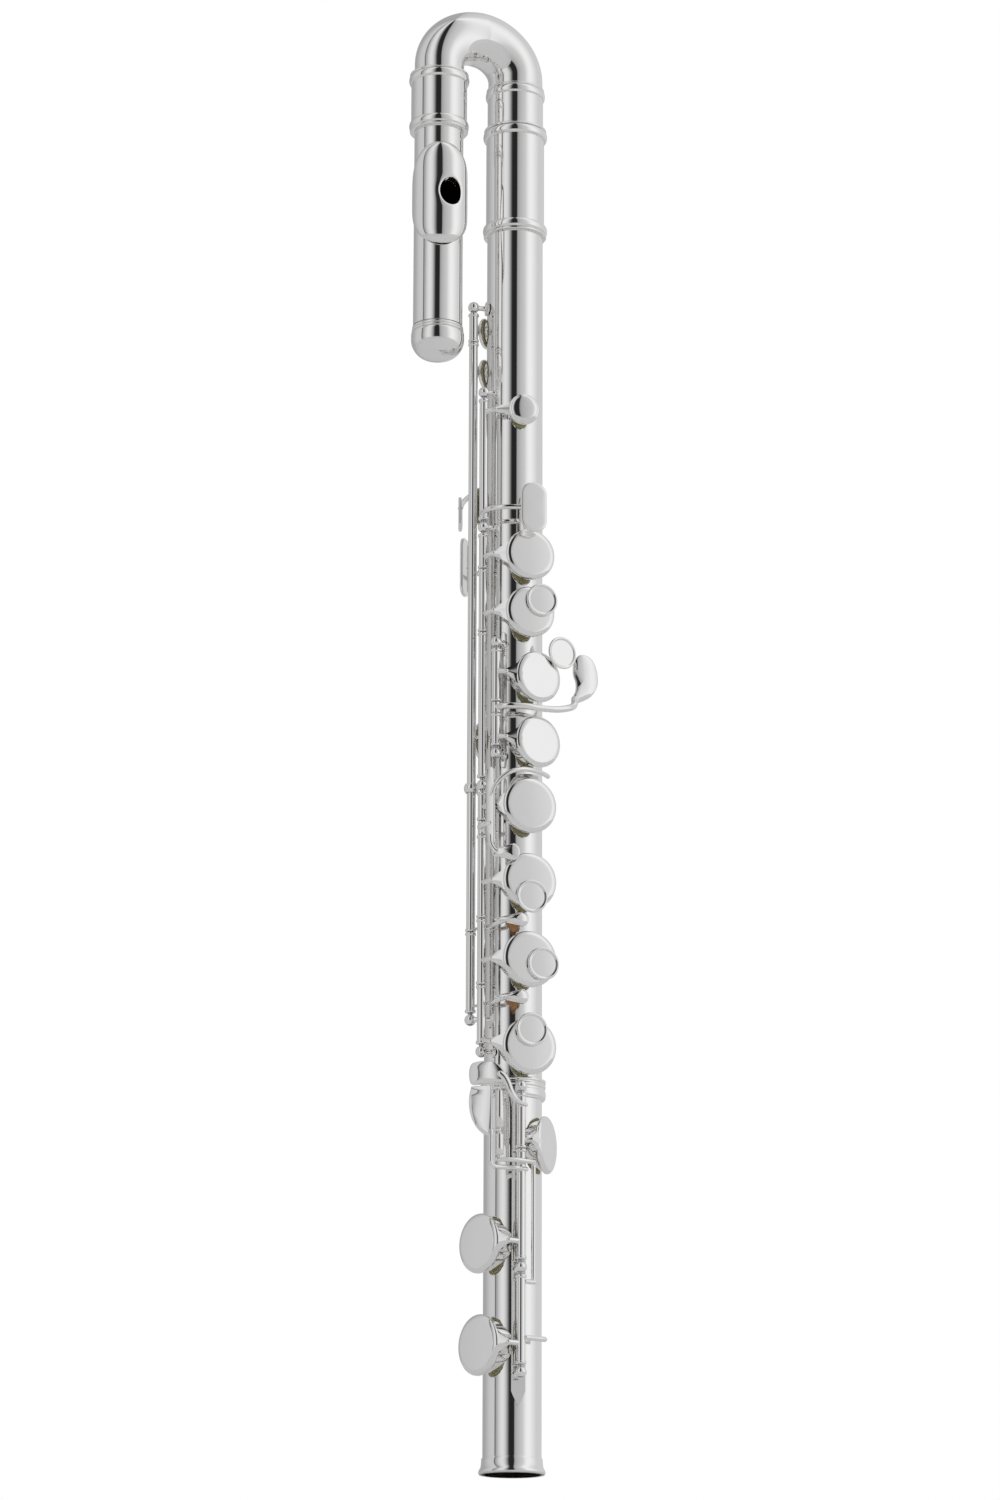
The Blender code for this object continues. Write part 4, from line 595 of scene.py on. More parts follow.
def make_crook():
    """The U bend, a tube that narrows evenly along its bend."""
    bends = 72
    stations = [(0.0, Vector((0, 0, HEAD_RING_HIGH_Z - 1.7)), 0.0)]
    for i in range(bends + 1):
        a = math.pi * i / bends
        centre = Vector((-BEND_R + BEND_R * math.cos(a), 0, BEND_Z + BEND_HEIGHT * math.sin(a)))
        stations.append((max(0.0, 2 * i / bends - 1) ** 0.8, centre, a))
    stations.append((1.0, Vector((LEG_X, 0, LEG_SLEEVE_HIGH_Z - 5.0)), math.pi))

    def ring(share, centre, a, inset):
        r = CROOK_START_R + (CROOK_END_R - CROOK_START_R) * share - inset
        outward = Vector((math.cos(a), 0, math.sin(a)))
        turns = [2 * math.pi * k / TUBE_SIDES for k in range(TUBE_SIDES)]
        return [centre + r * (outward * math.cos(t) + Vector((0, math.sin(t), 0))) for t in turns]

    rings = [ring(*s, 0.0) for s in stations] + [ring(*s, WALL) for s in reversed(stations)]
    bm = bmesh.new()
    skin(bm, rings, loop=True)
    dressed(smoothed(bm, "crook_fine"), SILVER, "tube_plate", "head", "crook_tube")


def make_leg_sleeve():
    """The sleeve below the bend, with its two rings."""
    low, high, ring = LEG_SLEEVE_LOW_Z, LEG_SLEEVE_HIGH_Z, LEG_RING_HEIGHT
    room, seat_r, floor_z = CROOK_END_R + 0.05, LEG_R + 0.05, LEG_TOP_Z + 0.2
    profile = [(room, high), (LEG_UPPER_RING_R - 0.8, high)]
    profile += bead(high - 1.1, high - 0.1, LEG_UPPER_RING_R - 0.35, LEG_SLEEVE_R + 0.2, 0.4)
    profile += bead(high - ring, high - 1.2, LEG_UPPER_RING_R, LEG_SLEEVE_R, 1.0)
    profile += bead(low + 1.2, low + ring, LEG_LOWER_RING_R, LEG_SLEEVE_R, 0.9)
    profile += bead(low + 0.1, low + 1.1, LEG_LOWER_RING_R - 0.3, LEG_SLEEVE_R - 0.3, 0.4)
    profile += [(LEG_R + 0.9, low), (seat_r, low + 0.2), (seat_r, floor_z), (room, floor_z)]
    turned_piece("leg_sleeve", "head", profile, on_leg())


def make_embouchure_tube():
    tube, hole = bmesh.new(), bmesh.new()
    inner = LEG_R - WALL
    profile = [(LEG_R, LEG_TOP_Z), (LEG_R, LEG_LOW_Z), (inner, LEG_LOW_Z), (inner, LEG_TOP_Z)]
    turned(tube, rounded(profile, 0.12), on_leg(), TUBE_SIDES, loop=True)
    place = on_leg(seat(BLOW_HOLE_PHI, BLOW_HOLE_Z))
    outline = oval(BLOW_HOLE_WIDTH, BLOW_HOLE_LENGTH, HOLE_SIDES)
    skin(hole, [[place @ Vector((x, y, h)) for x, y in outline] for h in (LEG_R * 0.5, LEG_R * 1.5)])
    cut = combined(as_object(tube), as_object(hole), "DIFFERENCE")
    obj = smoothed(as_bmesh(cut), "embouchure_tube_fine")
    round_normals(obj, LEG_X, (LEG_R, inner))
    dressed(obj, SILVER, "tube_plate", "head", "embouchure_tube")


def make_lip_plate():
    """The oval saddle and the riser under its blowing hole, as one closed shell round the hole."""
    place = on_leg(seat(BLOW_HOLE_PHI, BLOW_HOLE_Z))
    around, bands = 96, 22
    hole_x, hole_y, half_length = BLOW_HOLE_WIDTH / 2, BLOW_HOLE_LENGTH / 2, LIP_LENGTH / 2
    edge_r = LEG_R + 0.15 + LIP_THICKNESS
    half_arc = math.radians(LIP_SPAN / 2)
    lean = math.radians(LIP_LEAN)
    turns = [2 * math.pi * k / around for k in range(around)]

    def surface(u, w, sink):
        """A point on the plate for across u and lengthwise w, from -1 to 1, sunk below its top face."""
        angle = half_arc * u - lean
        across = angle / (half_arc - lean) if angle > 0 else angle / (half_arc + lean)
        along = min(1.0, abs(w) / math.sqrt(max(1 - u * u, 0.0001)))
        fall = min(1.0, across ** 2 + 0.8 * along ** 10 * (1 - across ** 2))
        rho = edge_r + (LIP_TOP_R - edge_r) * (1 - fall) - sink
        return place @ Vector((rho * math.sin(angle), half_length * w, rho * math.cos(angle)))

    def plate_ring(share, sink):
        """A ring between the hole's edge, share 0, and the plate's outer edge, share 1."""
        points = []
        for t in turns:
            u_hole = (math.asin(hole_x * math.cos(t) / LIP_TOP_R) + lean) / half_arc
            w_hole = hole_y * math.sin(t) / half_length
            points.append(surface(u_hole * (1 - share) + math.cos(t) * share,
                                  w_hole * (1 - share) + math.sin(t) * share, sink))
        return points

    def wall_ring(grow, rho):
        """A ring of the riser's wall, where the wall meets the round surface of radius rho."""
        points = []
        for t in turns:
            x, y = (hole_x + grow) * math.cos(t), (hole_y + grow) * math.sin(t)
            points.append(place @ Vector((x, y, math.sqrt(rho ** 2 - x * x))))
        return points

    shares = [1 - (1 - i / bands) ** 1.8 for i in range(1, bands)]
    rings = [wall_ring(0.0, LEG_R - 0.2), plate_ring(0.0, 0.45)]
    rings += [plate_ring(0.012, 0.16), plate_ring(0.035, 0.02)]
    rings += [plate_ring(0.05 + 0.93 * s, 0.0) for s in shares]
    edge = LIP_THICKNESS / 2
    for a in (20, 50, 80, 110, 140, 170):
        t = math.radians(a)
        rings.append(plate_ring(0.985 + 0.012 * math.sin(t), edge * (1 - math.cos(t))))
    rings += [plate_ring(0.16 + 0.8 * s, LIP_THICKNESS) for s in reversed(shares)]
    rings += [wall_ring(1.1, LIP_TOP_R - 1.3), wall_ring(0.9, LEG_R - 0.2)]
    bm = bmesh.new()
    skin(bm, rings, loop=True)
    finished(bm, "lip_plate", "lip_plate_plate", "head")


def make_crown():
    """The end cap: two fine lines, the widest band, and a domed bottom."""
    top = LEG_LOW_Z - GAP
    low, dome_high = top - CROWN_HEIGHT, top - 7.0
    depth, spigot = dome_high - low, LEG_R - WALL - 0.2
    profile = [(0, top + 6), (spigot, top + 6), (spigot, top - 0.02), (LEG_R - 0.1, top)]
    profile += bead(top - 1.3, top - 0.1, LEG_R + 0.35, LEG_R - 0.15, 0.45)
    profile += bead(top - 2.6, top - 1.5, LEG_R + 0.55, LEG_R - 0.1, 0.45)
    profile += [(CROWN_R - 0.5, top - 2.9), (CROWN_R - 0.1, top - 3.4), (CROWN_R, top - 4.2)]
    profile.append((CROWN_R, dome_high))
    for a in range(8, 89, 8):
        t = math.radians(a)
        profile.append((CROWN_R * math.cos(t) ** 0.72, dome_high - depth * math.sin(t) ** 1.15))
    profile.append((0, low))
    turned_piece("crown", "crown", profile, on_leg(), loop=False)


# Rods, posts and ribs

def ball(bm, rod, z, bore=HINGE_BORE_R, radius=BALL_R):
    """A post's ball, bored for its rod, with a fine collar on each side."""
    top = math.sqrt(radius ** 2 - (bore + 0.45) ** 2)
    start = math.asin(top / radius)
    arcs = 12
    turns = [start * (1 - 2 * i / arcs) for i in range(arcs + 1)]
    profile = [(bore, top + 0.15), (bore + 0.4, top + 0.15), (bore + 0.5, top + 0.05)]
    profile += [(radius * math.cos(t), radius * math.sin(t)) for t in turns]
    profile += [(bore + 0.5, -top - 0.05), (bore + 0.4, -top - 0.15), (bore, -top - 0.15)]
    turned(bm, profile, Matrix.Translation(rod_point(rod, z)), 32, loop=True)


def post(bm, rod, z, base_phi, bore=HINGE_BORE_R, radius=BALL_R, base_rho=STRAP_LOW + 0.5):
    """A post: a waisted stem that spreads at its base, with a bored ball on top."""
    ball(bm, rod, z, bore, radius)
    centre, base = rod_point(rod, z), spot(base_rho, base_phi, z)
    reach = centre - base
    length = reach.length - bore - 0.5
    place = Matrix.Translation(base) @ reach.to_track_quat("Z", "Y").to_matrix().to_4x4()
    profile = [(0, 0), (2.1, 0), (2.1, 0.45), (1.95, 0.6), (1.5, 0.95), (1.25, 1.5), (1.15, length * 0.6),
               (1.3, length - 0.6), (1.45, length), (0, length)]
    turned(bm, profile, place, 24)


def strap(bm, phi_low, phi_high, low, high):
    """A long plate that lies on the tube between two angles, with round ends."""
    width = math.radians(phi_high - phi_low) * STRAP_RHO
    lay = wrapped(STRAP_RHO, (phi_low + phi_high) / 2, (low + high) / 2)
    plate(bm, slot_outline(width, high - low), STRAP_HIGH - STRAP_LOW, lay, edge=0.3)


def make_ribs():
    """Each rib is a strap with its posts. The trill rods' top post stands on a round foot of its own."""
    ribs = (("main_rib", (57, 73), 7, MAIN_ROD, MAIN_POSTS, 66),
            ("g_rib", (45, 55), 6, G_ROD, G_POSTS, 48.5),
            ("trill_top_post", None, 0, TRILL_ROD, (TRILL_TOP_POST_Z,), TRILL_ROD[1]),
            ("thumb_rib", (187, 197), 5, THUMB_ROD, THUMB_POSTS, THUMB_ROD[1]))
    for node, span, overhang, rod, posts, base_phi in ribs:
        bm = bmesh.new()
        if span:
            strap(bm, *span, posts[-1] - overhang, posts[0] + overhang)
        else:
            lay = wrapped(STRAP_RHO, base_phi, posts[0])
            plate(bm, oval(6.8, 6.8), STRAP_HIGH - STRAP_LOW, lay, edge=0.3)
        for z in posts:
            post(bm, rod, z, base_phi)
        if node == "main_rib":
            wide, trill_base_phi = HINGE_R + GAP, 69.3
            post(bm, TRILL_ROD, TRILL_BRIDGE_Z, trill_base_phi, wide, wide + 1.1)
            post(bm, TRILL_ROD, TRILL_LOW_POST_Z, trill_base_phi)
        finished(bm, node, "rib_plate", "body")


def make_foot_rib():
    """The foot's rib, pointed at its lower end and cut away round the tone holes, with its two posts."""
    low, shoulder, high = FOOT_POSTS[2] - 14.6, FOOT_POSTS[2] - 8.0, SOCKET_LOW_Z - 1.0
    half, steps = 3.2, 14
    outline = [(half, shoulder + (high - shoulder) * i / steps) for i in range(steps + 1)]
    outline += [(-half, high - (high - shoulder) * i / steps) for i in range(steps + 1)]
    taper = [(half * (1 - s) ** 0.8, shoulder + (low - shoulder) * s) for s in (0.25, 0.5, 0.75, 0.92)]
    outline += [(-x, y) for x, y in taper] + [(0, low)] + list(reversed(taper))
    rib, holes = bmesh.new(), bmesh.new()
    lay = wrapped(STRAP_RHO, FOOT_ROD[1], 0)
    skin(rib, [[lay(x, y, h) for x, y in outline] for h in (-0.45, 0.45)])
    for name in FOOT_CUPS:
        phi, z, cup_r, rim = CUPS[name][1:5]
        room = cup_r - HOLE_INSET + CHIMNEY_WALL + GAP
        turned(holes, [(0, rim + 2), (room, rim + 2), (room, 6.0), (0, 6.0)], seat(phi, z))
    bm = as_bmesh(combined(as_object(rib), as_object(holes), "DIFFERENCE"))
    for z in FOOT_POSTS[1:]:
        post(bm, FOOT_ROD, z, FOOT_ROD[1])
    finished(bm, "foot_rib", "rib_plate", "foot")


def make_rods():
    """The steel pivot rods, but for the one of the trill keys, which is made with those."""
    rods = (("main", MAIN_ROD, MAIN_POSTS[-1], MAIN_POSTS[0], "body"),
            ("g", G_ROD, G_POSTS[1], G_POSTS[0], "g_keys"),
            ("thumb", THUMB_ROD, THUMB_POSTS[1], THUMB_POSTS[0], "body"),
            ("foot", FOOT_ROD, FOOT_POSTS[-1], FOOT_POSTS[0], "foot"))
    for name, rod, low, high, body in rods:
        bm = bmesh.new()
        steel_rod(bm, rod, low, high)
        dressed(smoothed(bm, f"{name}_rod_fine"), STEEL, "rod_steel", body, f"{name}_pivot_rod")


def steel_rod(bm, rod, low_post, high_post):
    """A rod with chamfered ends just inside its outer posts."""
    low, high, chamfer = low_post - BALL_R + 0.1, high_post + BALL_R - 0.1, 0.25
    profile = [(0, high), (ROD_R - chamfer, high), (ROD_R, high - chamfer), (ROD_R, low + chamfer),
               (ROD_R - chamfer, low), (0, low)]
    turned(bm, profile, at_rod(rod), ROD_SIDES)


# Keys, each made closed and then swung to where it rests

def hinge_tube(bm, rod, low, high, collars=0.5):
    """A hinge tube with a bead round each end, standing out by collars."""
    low, high = low + GAP / 2, high - GAP / 2
    profile = [(HINGE_R - 0.1, high), (HINGE_R, high - 0.1), (HINGE_R, low + 0.1), (HINGE_R - 0.1, low),
               (HINGE_BORE_R, low), (HINGE_BORE_R, high)]
    if collars and high - low > 8:
        half = 0.8
        arc = [math.radians(a) for a in range(75, -76, -25)]
        ring = [(HINGE_R + collars * math.cos(a), half * math.sin(a)) for a in arc]
        profile = [(HINGE_R, high)] + [(r, high - half + h) for r, h in ring] + [(HINGE_R, high - 2 * half)]
        profile += [(HINGE_R, low + 2 * half)] + [(r, low + half + h) for r, h in ring]
        profile += [(HINGE_R, low), (HINGE_BORE_R, low), (HINGE_BORE_R, high)]
    turned(bm, profile, at_rod(rod), HINGE_SIDES, loop=True)


def round_wire(bm, radius, points, end_radius=None):
    """A round wire through places given as (height above the tube, phi, z)."""
    path = smooth_path([spot(TUBE_R + height, phi, z) for height, phi, z in points], 6)
    sweep(bm, path, radius, end_radius)


def cup(bm, place, radius, rim, dome=0.0):
    """A cup with a rounded edge, hollow below for the pad. Its face is almost flat unless it has a dome."""
    top, bottom, roof = rim + CUP_HEIGHT, rim + CUP_LIFT, rim + RECESS_LIFT - 0.25
    inner, flat_r = radius - CUP_WALL, radius - 2.2
    if dome:
        turns = [math.radians(a) for a in range(10, 91, 10)]
        face = [(0, top + dome)]
        face += [(radius * 0.86 * math.sin(t), top - 0.35 + (dome + 0.35) * math.cos(t)) for t in turns]
        face += [(radius * 0.93, top - 0.6), (radius - 0.12, top - 1.0)]
    else:
        face = [(flat_r * s, top - FACE_CROWN * s * s) for s in (0, 0.2, 0.4, 0.6, 0.8, 0.92, 1.0)]
        face += [(radius - 1.95, top - 0.3), (radius - 1.7, top - 0.37), (radius - 1.0, top - 0.68),
                 (radius - 0.75, top - 0.82), (radius - 0.4, top - 1.08), (radius - 0.12, top - 1.4)]
    side = [(radius, top - 1.75), (radius, bottom + 0.12), (radius - 0.12, bottom), (inner + 0.05, bottom),
            (inner, bottom + 0.05), (inner, roof - 0.35), (inner - 0.35, roof), (0, roof)]
    turned(bm, face + side, place)


def wedge(bm, place, apex, meet, side, rim, flare):
    """An arm that spreads from a narrow ridged neck to the edge of its cup."""
    run = (meet - apex).normalized()
    lift = Vector((-run.z, 0, run.x)) if run.x > 0 else Vector((run.z, 0, -run.x))
    narrow = [(-1.25, -1.0), (1.25, -1.0), (1.3, 0.35), (0.45, 1.0), (0, 1.15), (-0.45, 1.0), (-1.3, 0.35)]
    low, edge, ridge, top = CUP_LIFT + 0.2, CUP_HEIGHT - 1.0, CUP_HEIGHT - 0.3, CUP_HEIGHT - 0.12
    wide = [(-flare, low), (flare, low), (flare, edge), (flare * 0.3, ridge), (0, top)]
    wide += [(-flare * 0.3, ridge), (-flare, edge)]
    start = [apex + Vector((0, y, 0)) + lift * h for y, h in narrow]
    end = [Vector((meet.x - side * 2.4, y, rim + h)) for y, h in wide]
    steps = 8
    rings = []
    for i in range(steps + 1):
        t = i / steps
        shares = Vector((t, t ** 1.25, t))
        rings.append([place @ (a + (b - a) * shares) for a, b in zip(start, end)])
    skin(bm, rings)


def cup_and_arm(bm, name, dome=0.0, flare=6.4, arm_up=0.0, neck=True):
    """A cup over its closed hole, and the arm that joins it to its hinge tube."""
    rod, phi, z, radius, rim = CUPS[name][:5]
    place = seat(phi, z)
    hinge = place.inverted() @ rod_point(rod, z + arm_up)
    side = -1 if hinge.x < 0 else 1
    meet = Vector((side * radius, 0, rim + 1.9))
    outward = place.inverted().to_3x3() @ spot(1, rod[1], 0)
    step = 0.55 * (meet - hinge) + 1.8 * outward
    apex = hinge + step * max(1.0, 3.9 / step.length)
    if neck:
        reach = (apex - hinge).normalized()
        sweep(bm, [place @ (hinge + reach * 1.75), place @ (apex + reach * 0.5)], NECK_R + 0.1, NECK_R)
    else:
        apex = meet + Vector((side * 0.5, 0, -0.2))
    wedge(bm, place, apex, meet, side, rim, flare)
    cup(bm, place, radius, rim, dome)


def button(bm, name, across, up):
    """A finger button by its cup: a dished disc with a thin raised rim on a conical stem."""
    r, top, dish = BUTTON_R, RIM + CUP_HEIGHT, BUTTON_R - 1.9
    phi, z = CUPS[name][1:3]
    profile = [(dish * s, top + 1.5 - 0.12 * s * s) for s in (0, 0.25, 0.5, 0.75, 1.0)]
    profile += [(r - 1.6, top + 1.36), (r - 1.35, top + 1.5), (r - 1.0, top + 1.74), (r - 0.7, top + 1.82),
                (r - 0.35, top + 1.72), (r - 0.1, top + 1.5), (r, top + 1.25), (r - 0.1, top + 1.05),
                (r - 0.5, top + 0.85), (r - 3.4, top - 0.1), (r - 3.8, top - 0.4), (0, top - 0.4)]
    turned(bm, profile, seat(phi, z) @ Matrix.Translation((across, up, 0)))


def finished_key(bm, node, name, body=None):
    """A key in place of its CAD node, swung to where its cup rests."""
    bm.transform(swung(name))
    finished(bm, node, "key_plate", body or name)


def pad(node, name, body=None):
    """The pad in a cup: a felt disc in yellow skin, drawn in at its edge and pressed by the hole's rim."""
    phi, z, radius, rim = CUPS[name][1:5]
    r = radius - CUP_WALL - GAP + 0.15
    low, top = rim + PAD_LIFT, rim + RECESS_LIFT - 0.4
    hole = radius - HOLE_INSET + CHIMNEY_WALL / 2
    profile = [(0, top), (r - 0.2, top), (r, top - 0.2), (r, low + 0.55), (r - 0.12, low + 0.2),
               (r - 0.45, low + 0.02), (hole + 0.5, low), (hole, low + 0.12), (hole - 0.5, low), (0, low)]
    bm = bmesh.new()
    turned(bm, profile, swung(name) @ seat(phi, z))
    finished(bm, node, "pad_skin", body or name, SKIN)


def new_key(name, low, high, **arm):
    """A key's hinge tube between two heights, with its cup and arm."""
    bm = bmesh.new()
    hinge_tube(bm, CUPS[name][0], low, high)
    cup_and_arm(bm, name, **arm)
    return bm


def key_and_pad(bm, name):
    """A key and its pad in place of the CAD nodes of those names."""
    finished_key(bm, f"{name}_key", name)
    pad(f"{name}_pad", name)


def make_main_keys():
    """The cups on the main rod that are alike. Each has its tube's ends, its arm's rise and its button."""
    main = (("a_sharp", A_SHARP_LOW_Z, MAIN_POSTS[1] - POST_ROOM, 0.0, None),
            ("a", A_LOW_Z, A_SHARP_LOW_Z, 0.0, (4.8, 5.6)),
            ("f_sharp", SIDE_HIGH_Z, MAIN_POSTS[2] - POST_ROOM, 0.0, None),
            ("f", F_LOW_Z, SIDE_LOW_Z, 0.0, (0.0, -7.9)),
            ("e", E_LOW_Z, F_LOW_Z, 0.0, (5.6, -2.3)),
            ("d", MAIN_POSTS[3] + POST_ROOM, E_LOW_Z, 4.1, (0.0, 7.4)))
    for name, low, high, arm_up, touch in main:
        bm = new_key(name, low, high, arm_up=arm_up)
        if touch:
            button(bm, name, *touch)
        key_and_pad(bm, name)


def make_small_c_key():
    """The small C key, whose touch lies over the tube between its own cup and the A sharp cup."""
    z = SMALL_C_TOUCH_Z
    bm = new_key("small_c", MAIN_POSTS[1] + POST_ROOM, MAIN_POSTS[0] - POST_ROOM, dome=1.1, flare=3.6)
    plate(bm, rounded_box(12.8, 24.5, 6.1), 1.5, flat(TUBE_R + 9.5, 2, z, 2), edge=0.6, crown=0.2)
    round_wire(bm, NECK_R, [(7.5, 75, z), (9.7, 58, z), (9.9, 38, z), (9.0, 12, z)])
    key_and_pad(bm, "small_c")


def make_g_keys():
    """The two G cups, whose tubes leave room between them for the G sharp lever."""
    lever_z, lever_width, top = G_UPPER_Z - 15.8, 5.4, RIM + CUP_HEIGHT
    button_x, button_y = 11.6, 12.7
    bm = new_key("g_upper", lever_z + lever_width / 2, G_POSTS[0] - POST_ROOM, arm_up=2.0)
    place = seat(G_PHI, G_UPPER_Z)
    ends = ((8.2, 8.9, top - 1.1), (button_x, button_y, top + 0.1))
    sweep(bm, [place @ Vector(end) for end in ends], 1.1)
    button(bm, "g_upper", button_x, button_y)
    finished_key(bm, "g_upper_key", "g_upper", "g_keys")
    bm = new_key("g_lower", G_POSTS[1] + POST_ROOM, lever_z - lever_width / 2, arm_up=2.0)
    finished_key(bm, "g_lower_key", "g_lower", "g_keys")
    pad("g_upper_pad", "g_upper", "g_keys")
    pad("g_lower_pad", "g_lower", "g_keys")
    make_g_sharp_lever(lever_z, lever_width)


def make_g_sharp_lever(z, width):
    """The left little finger's lever, from the G rod across the tube to its drop-shaped blade."""
    bm = bmesh.new()
    hinge_tube(bm, G_ROD, z - width / 2, z + width / 2, collars=0)
    arm = [(7.45, 50, z), (8.35, 36, z), (7.85, 15, z), (8.15, -8, z - 0.2), (11.15, -28, z + 0.4)]
    arm += [(14.4, -42, z + 2.4), (15.2, -54, z + 5.2), (15.4, -61, z + 9.0)]
    round_wire(bm, 1.45, arm, end_radius=1.7)
    leaf = [(-1.9, 10.0), (2.4, 8.7), (5.1, 4.6), (6.2, -0.9), (5.7, -5.5), (2.8, -10.0), (-1.8, -13.0),
            (-6.4, -14.6), (-7.2, -12.4), (-5.4, -8.6), (-5.2, -4.4), (-6.5, 0.0), (-6.4, 4.6), (-4.9, 8.2)]
    plate(bm, closed_curve(leaf), 1.7, flat(TUBE_R + 20.85, -66.5, z + 21.6, 8), edge=0.8, crown=1.1)
    finished(bm, "g_sharp_lever", "key_plate", "g_sharp_lever")


def make_g_sharp_key():
    """The closed G sharp key, whose arm passes between the tube and the trill tube to reach its cup."""
    z = G_SHARP_Z
    bm = bmesh.new()
    hinge_tube(bm, MAIN_ROD, MAIN_POSTS[2] + POST_ROOM, A_LOW_Z)
    arm = ((5.1, 82.7), (3.8, 91.6), (2.95, 98), (2.75, 105), (3.45, 110.8), (5.45, 113.8))
    round_wire(bm, 0.9, [(height, phi, z) for height, phi in arm])
    cup_and_arm(bm, "g_sharp", flare=4.0, neck=False)
    key_and_pad(bm, "g_sharp")


def make_b_flat_side_lever():
    """The right forefinger's lever: a drop-shaped touch, a strap, and the long arm across the tube."""
    z = (SIDE_LOW_Z + SIDE_HIGH_Z) / 2
    low, high = z - 14.0, z + 26.8
    bm = bmesh.new()
    hinge_tube(bm, MAIN_ROD, SIDE_LOW_Z, SIDE_HIGH_Z, collars=0)
    plate(bm, slot_outline(4.6, 37.6), 1.5, wrapped(TUBE_R + 11.55, 55, z + 8.3), shrinks=(0.6, 0.2))
    round_wire(bm, NECK_R, [(7.85, 77, z), (10.35, 70, z), (11.55, 62, z), (11.55, 55, z)])
    plate(bm, teardrop(13.2, 4.4, 2.2), 1.6, wrapped(TUBE_R + 10.95, 38, low), edge=0.7, crown=0.9)
    neck = [(11.55, 55, low + 8.0), (11.45, 54, low + 4.0), (11.25, 49, low + 0.6), (11.05, 44, low)]
    round_wire(bm, NECK_R, neck)
    arm = [(11.55, 54, z + 13.5), (11.6, 50, z + 17.8), (11.2, 43, z + 21.6), (9.9, 32, z + 24.8)]
    arm += [(7.9, 18, z + 26.5), (6.1, 3, high), (4.55, -14, high), (3.75, -30, high), (3.55, -42, high)]
    round_wire(bm, 1.1, arm)
    finished(bm, "b_flat_side_lever", "key_plate", "b_flat_side")


def make_thumb_keys():
    """The B thumb key and, above it on the same rod, the B flat lever."""
    z = THUMB_Z - 30.0
    bm = new_key("b_thumb", THUMB_POSTS[1] + POST_ROOM, THUMB_SPLIT_Z, flare=4.0)
    plate(bm, slot_outline(9.6, 29.0), 1.5, wrapped(TUBE_R + 9.55, 135, z), edge=0.6)
    round_wire(bm, NECK_R, [(7.75, 189, z), (10.45, 176, z), (10.75, 160, z), (9.55, 140, z)])
    key_and_pad(bm, "b_thumb")
    z = THUMB_Z - 5.5
    bm = bmesh.new()
    hinge_tube(bm, THUMB_ROD, THUMB_SPLIT_Z, THUMB_POSTS[0] - POST_ROOM)
    plate(bm, slot_outline(7.6, 17.0), 1.5, wrapped(TUBE_R + 12.55, 124, z), edge=0.6)
    neck = [(7.75, 190, z + 17.5), (11.15, 178, z + 17.0), (13.15, 160, z + 14.5), (13.15, 142, z + 8.5)]
    round_wire(bm, NECK_R, [*neck, (12.65, 128, z + 3.5)])
    finished(bm, "b_flat_thumb_lever", "key_plate", "b_flat_thumb")


def trill_touch(bm, z):
    """A leaf-shaped touch on an arm that passes between the main rod and its rib."""
    plate(bm, teardrop(16.4, 3.7, 0.7), 1.3, wrapped(TUBE_R + 7.35, 32, z), edge=0.6, crown=1.5)
    low = z - 1.9
    arm = [(6.2, 100.5, low), (4.9, 95, low), (3.6, 88, low), (3.15, 79, low), (3.7, 71, low), (4.5, 62, low)]
    arm += [(5.8, 53, low + 0.5), (7.0, 44, z - 0.8), (7.5, 37, z)]
    round_wire(bm, 0.6, arm, end_radius=1.3)


def trill_cork(node, body, z):
    """The wedge of cork under a trill touch, pointed at its lower end."""
    half = [(4.0, -0.6), (3.2, -2.4), (1.5, -4.6)]
    outline = [half[0], (0.0, 1.2)] + [(-x, y) for x, y in half] + [(0.0, -6.0)] + half[:0:-1]
    bm = bmesh.new()
    plate(bm, closed_curve(outline), 3.0, wrapped(TUBE_R + 5.1, 29, z), edge=0.25)
    finished(bm, node, "cork", body, CORK)


def make_trill_keys():
    """The trill keys. The second one's tube is in two parts, which the steel rod through the first joins."""
    bm = new_key("trill_1", TRILL_1_LOW_Z, TRILL_1_HIGH_Z, flare=3.4)
    trill_touch(bm, TRILL_1_TOUCH_Z)
    finished_key(bm, "trill_key_1", "trill_1")
    pad("trill_pad_1", "trill_1")
    trill_cork("trill_cork_1", "trill_1", TRILL_1_TOUCH_Z)
    bm = bmesh.new()
    hinge_tube(bm, TRILL_ROD, TRILL_1_HIGH_Z, TRILL_TOP_POST_Z - POST_ROOM + GAP / 2)
    hinge_tube(bm, TRILL_ROD, TRILL_LOW_POST_Z + POST_ROOM - GAP / 2, TRILL_1_LOW_Z)
    cup_and_arm(bm, "trill_2", flare=3.4)
    trill_touch(bm, TRILL_2_TOUCH_Z)
    finished_key(bm, "trill_key_2", "trill_2")
    bm = bmesh.new()
    steel_rod(bm, TRILL_ROD, TRILL_LOW_POST_Z, TRILL_TOP_POST_Z)
    dressed(smoothed(bm, "trill_rod_fine"), STEEL, "key_plate", "trill_2")
    pad("trill_pad_2", "trill_2")
    trill_cork("trill_cork_2", "trill_2", TRILL_2_TOUCH_Z)


# Foot keys

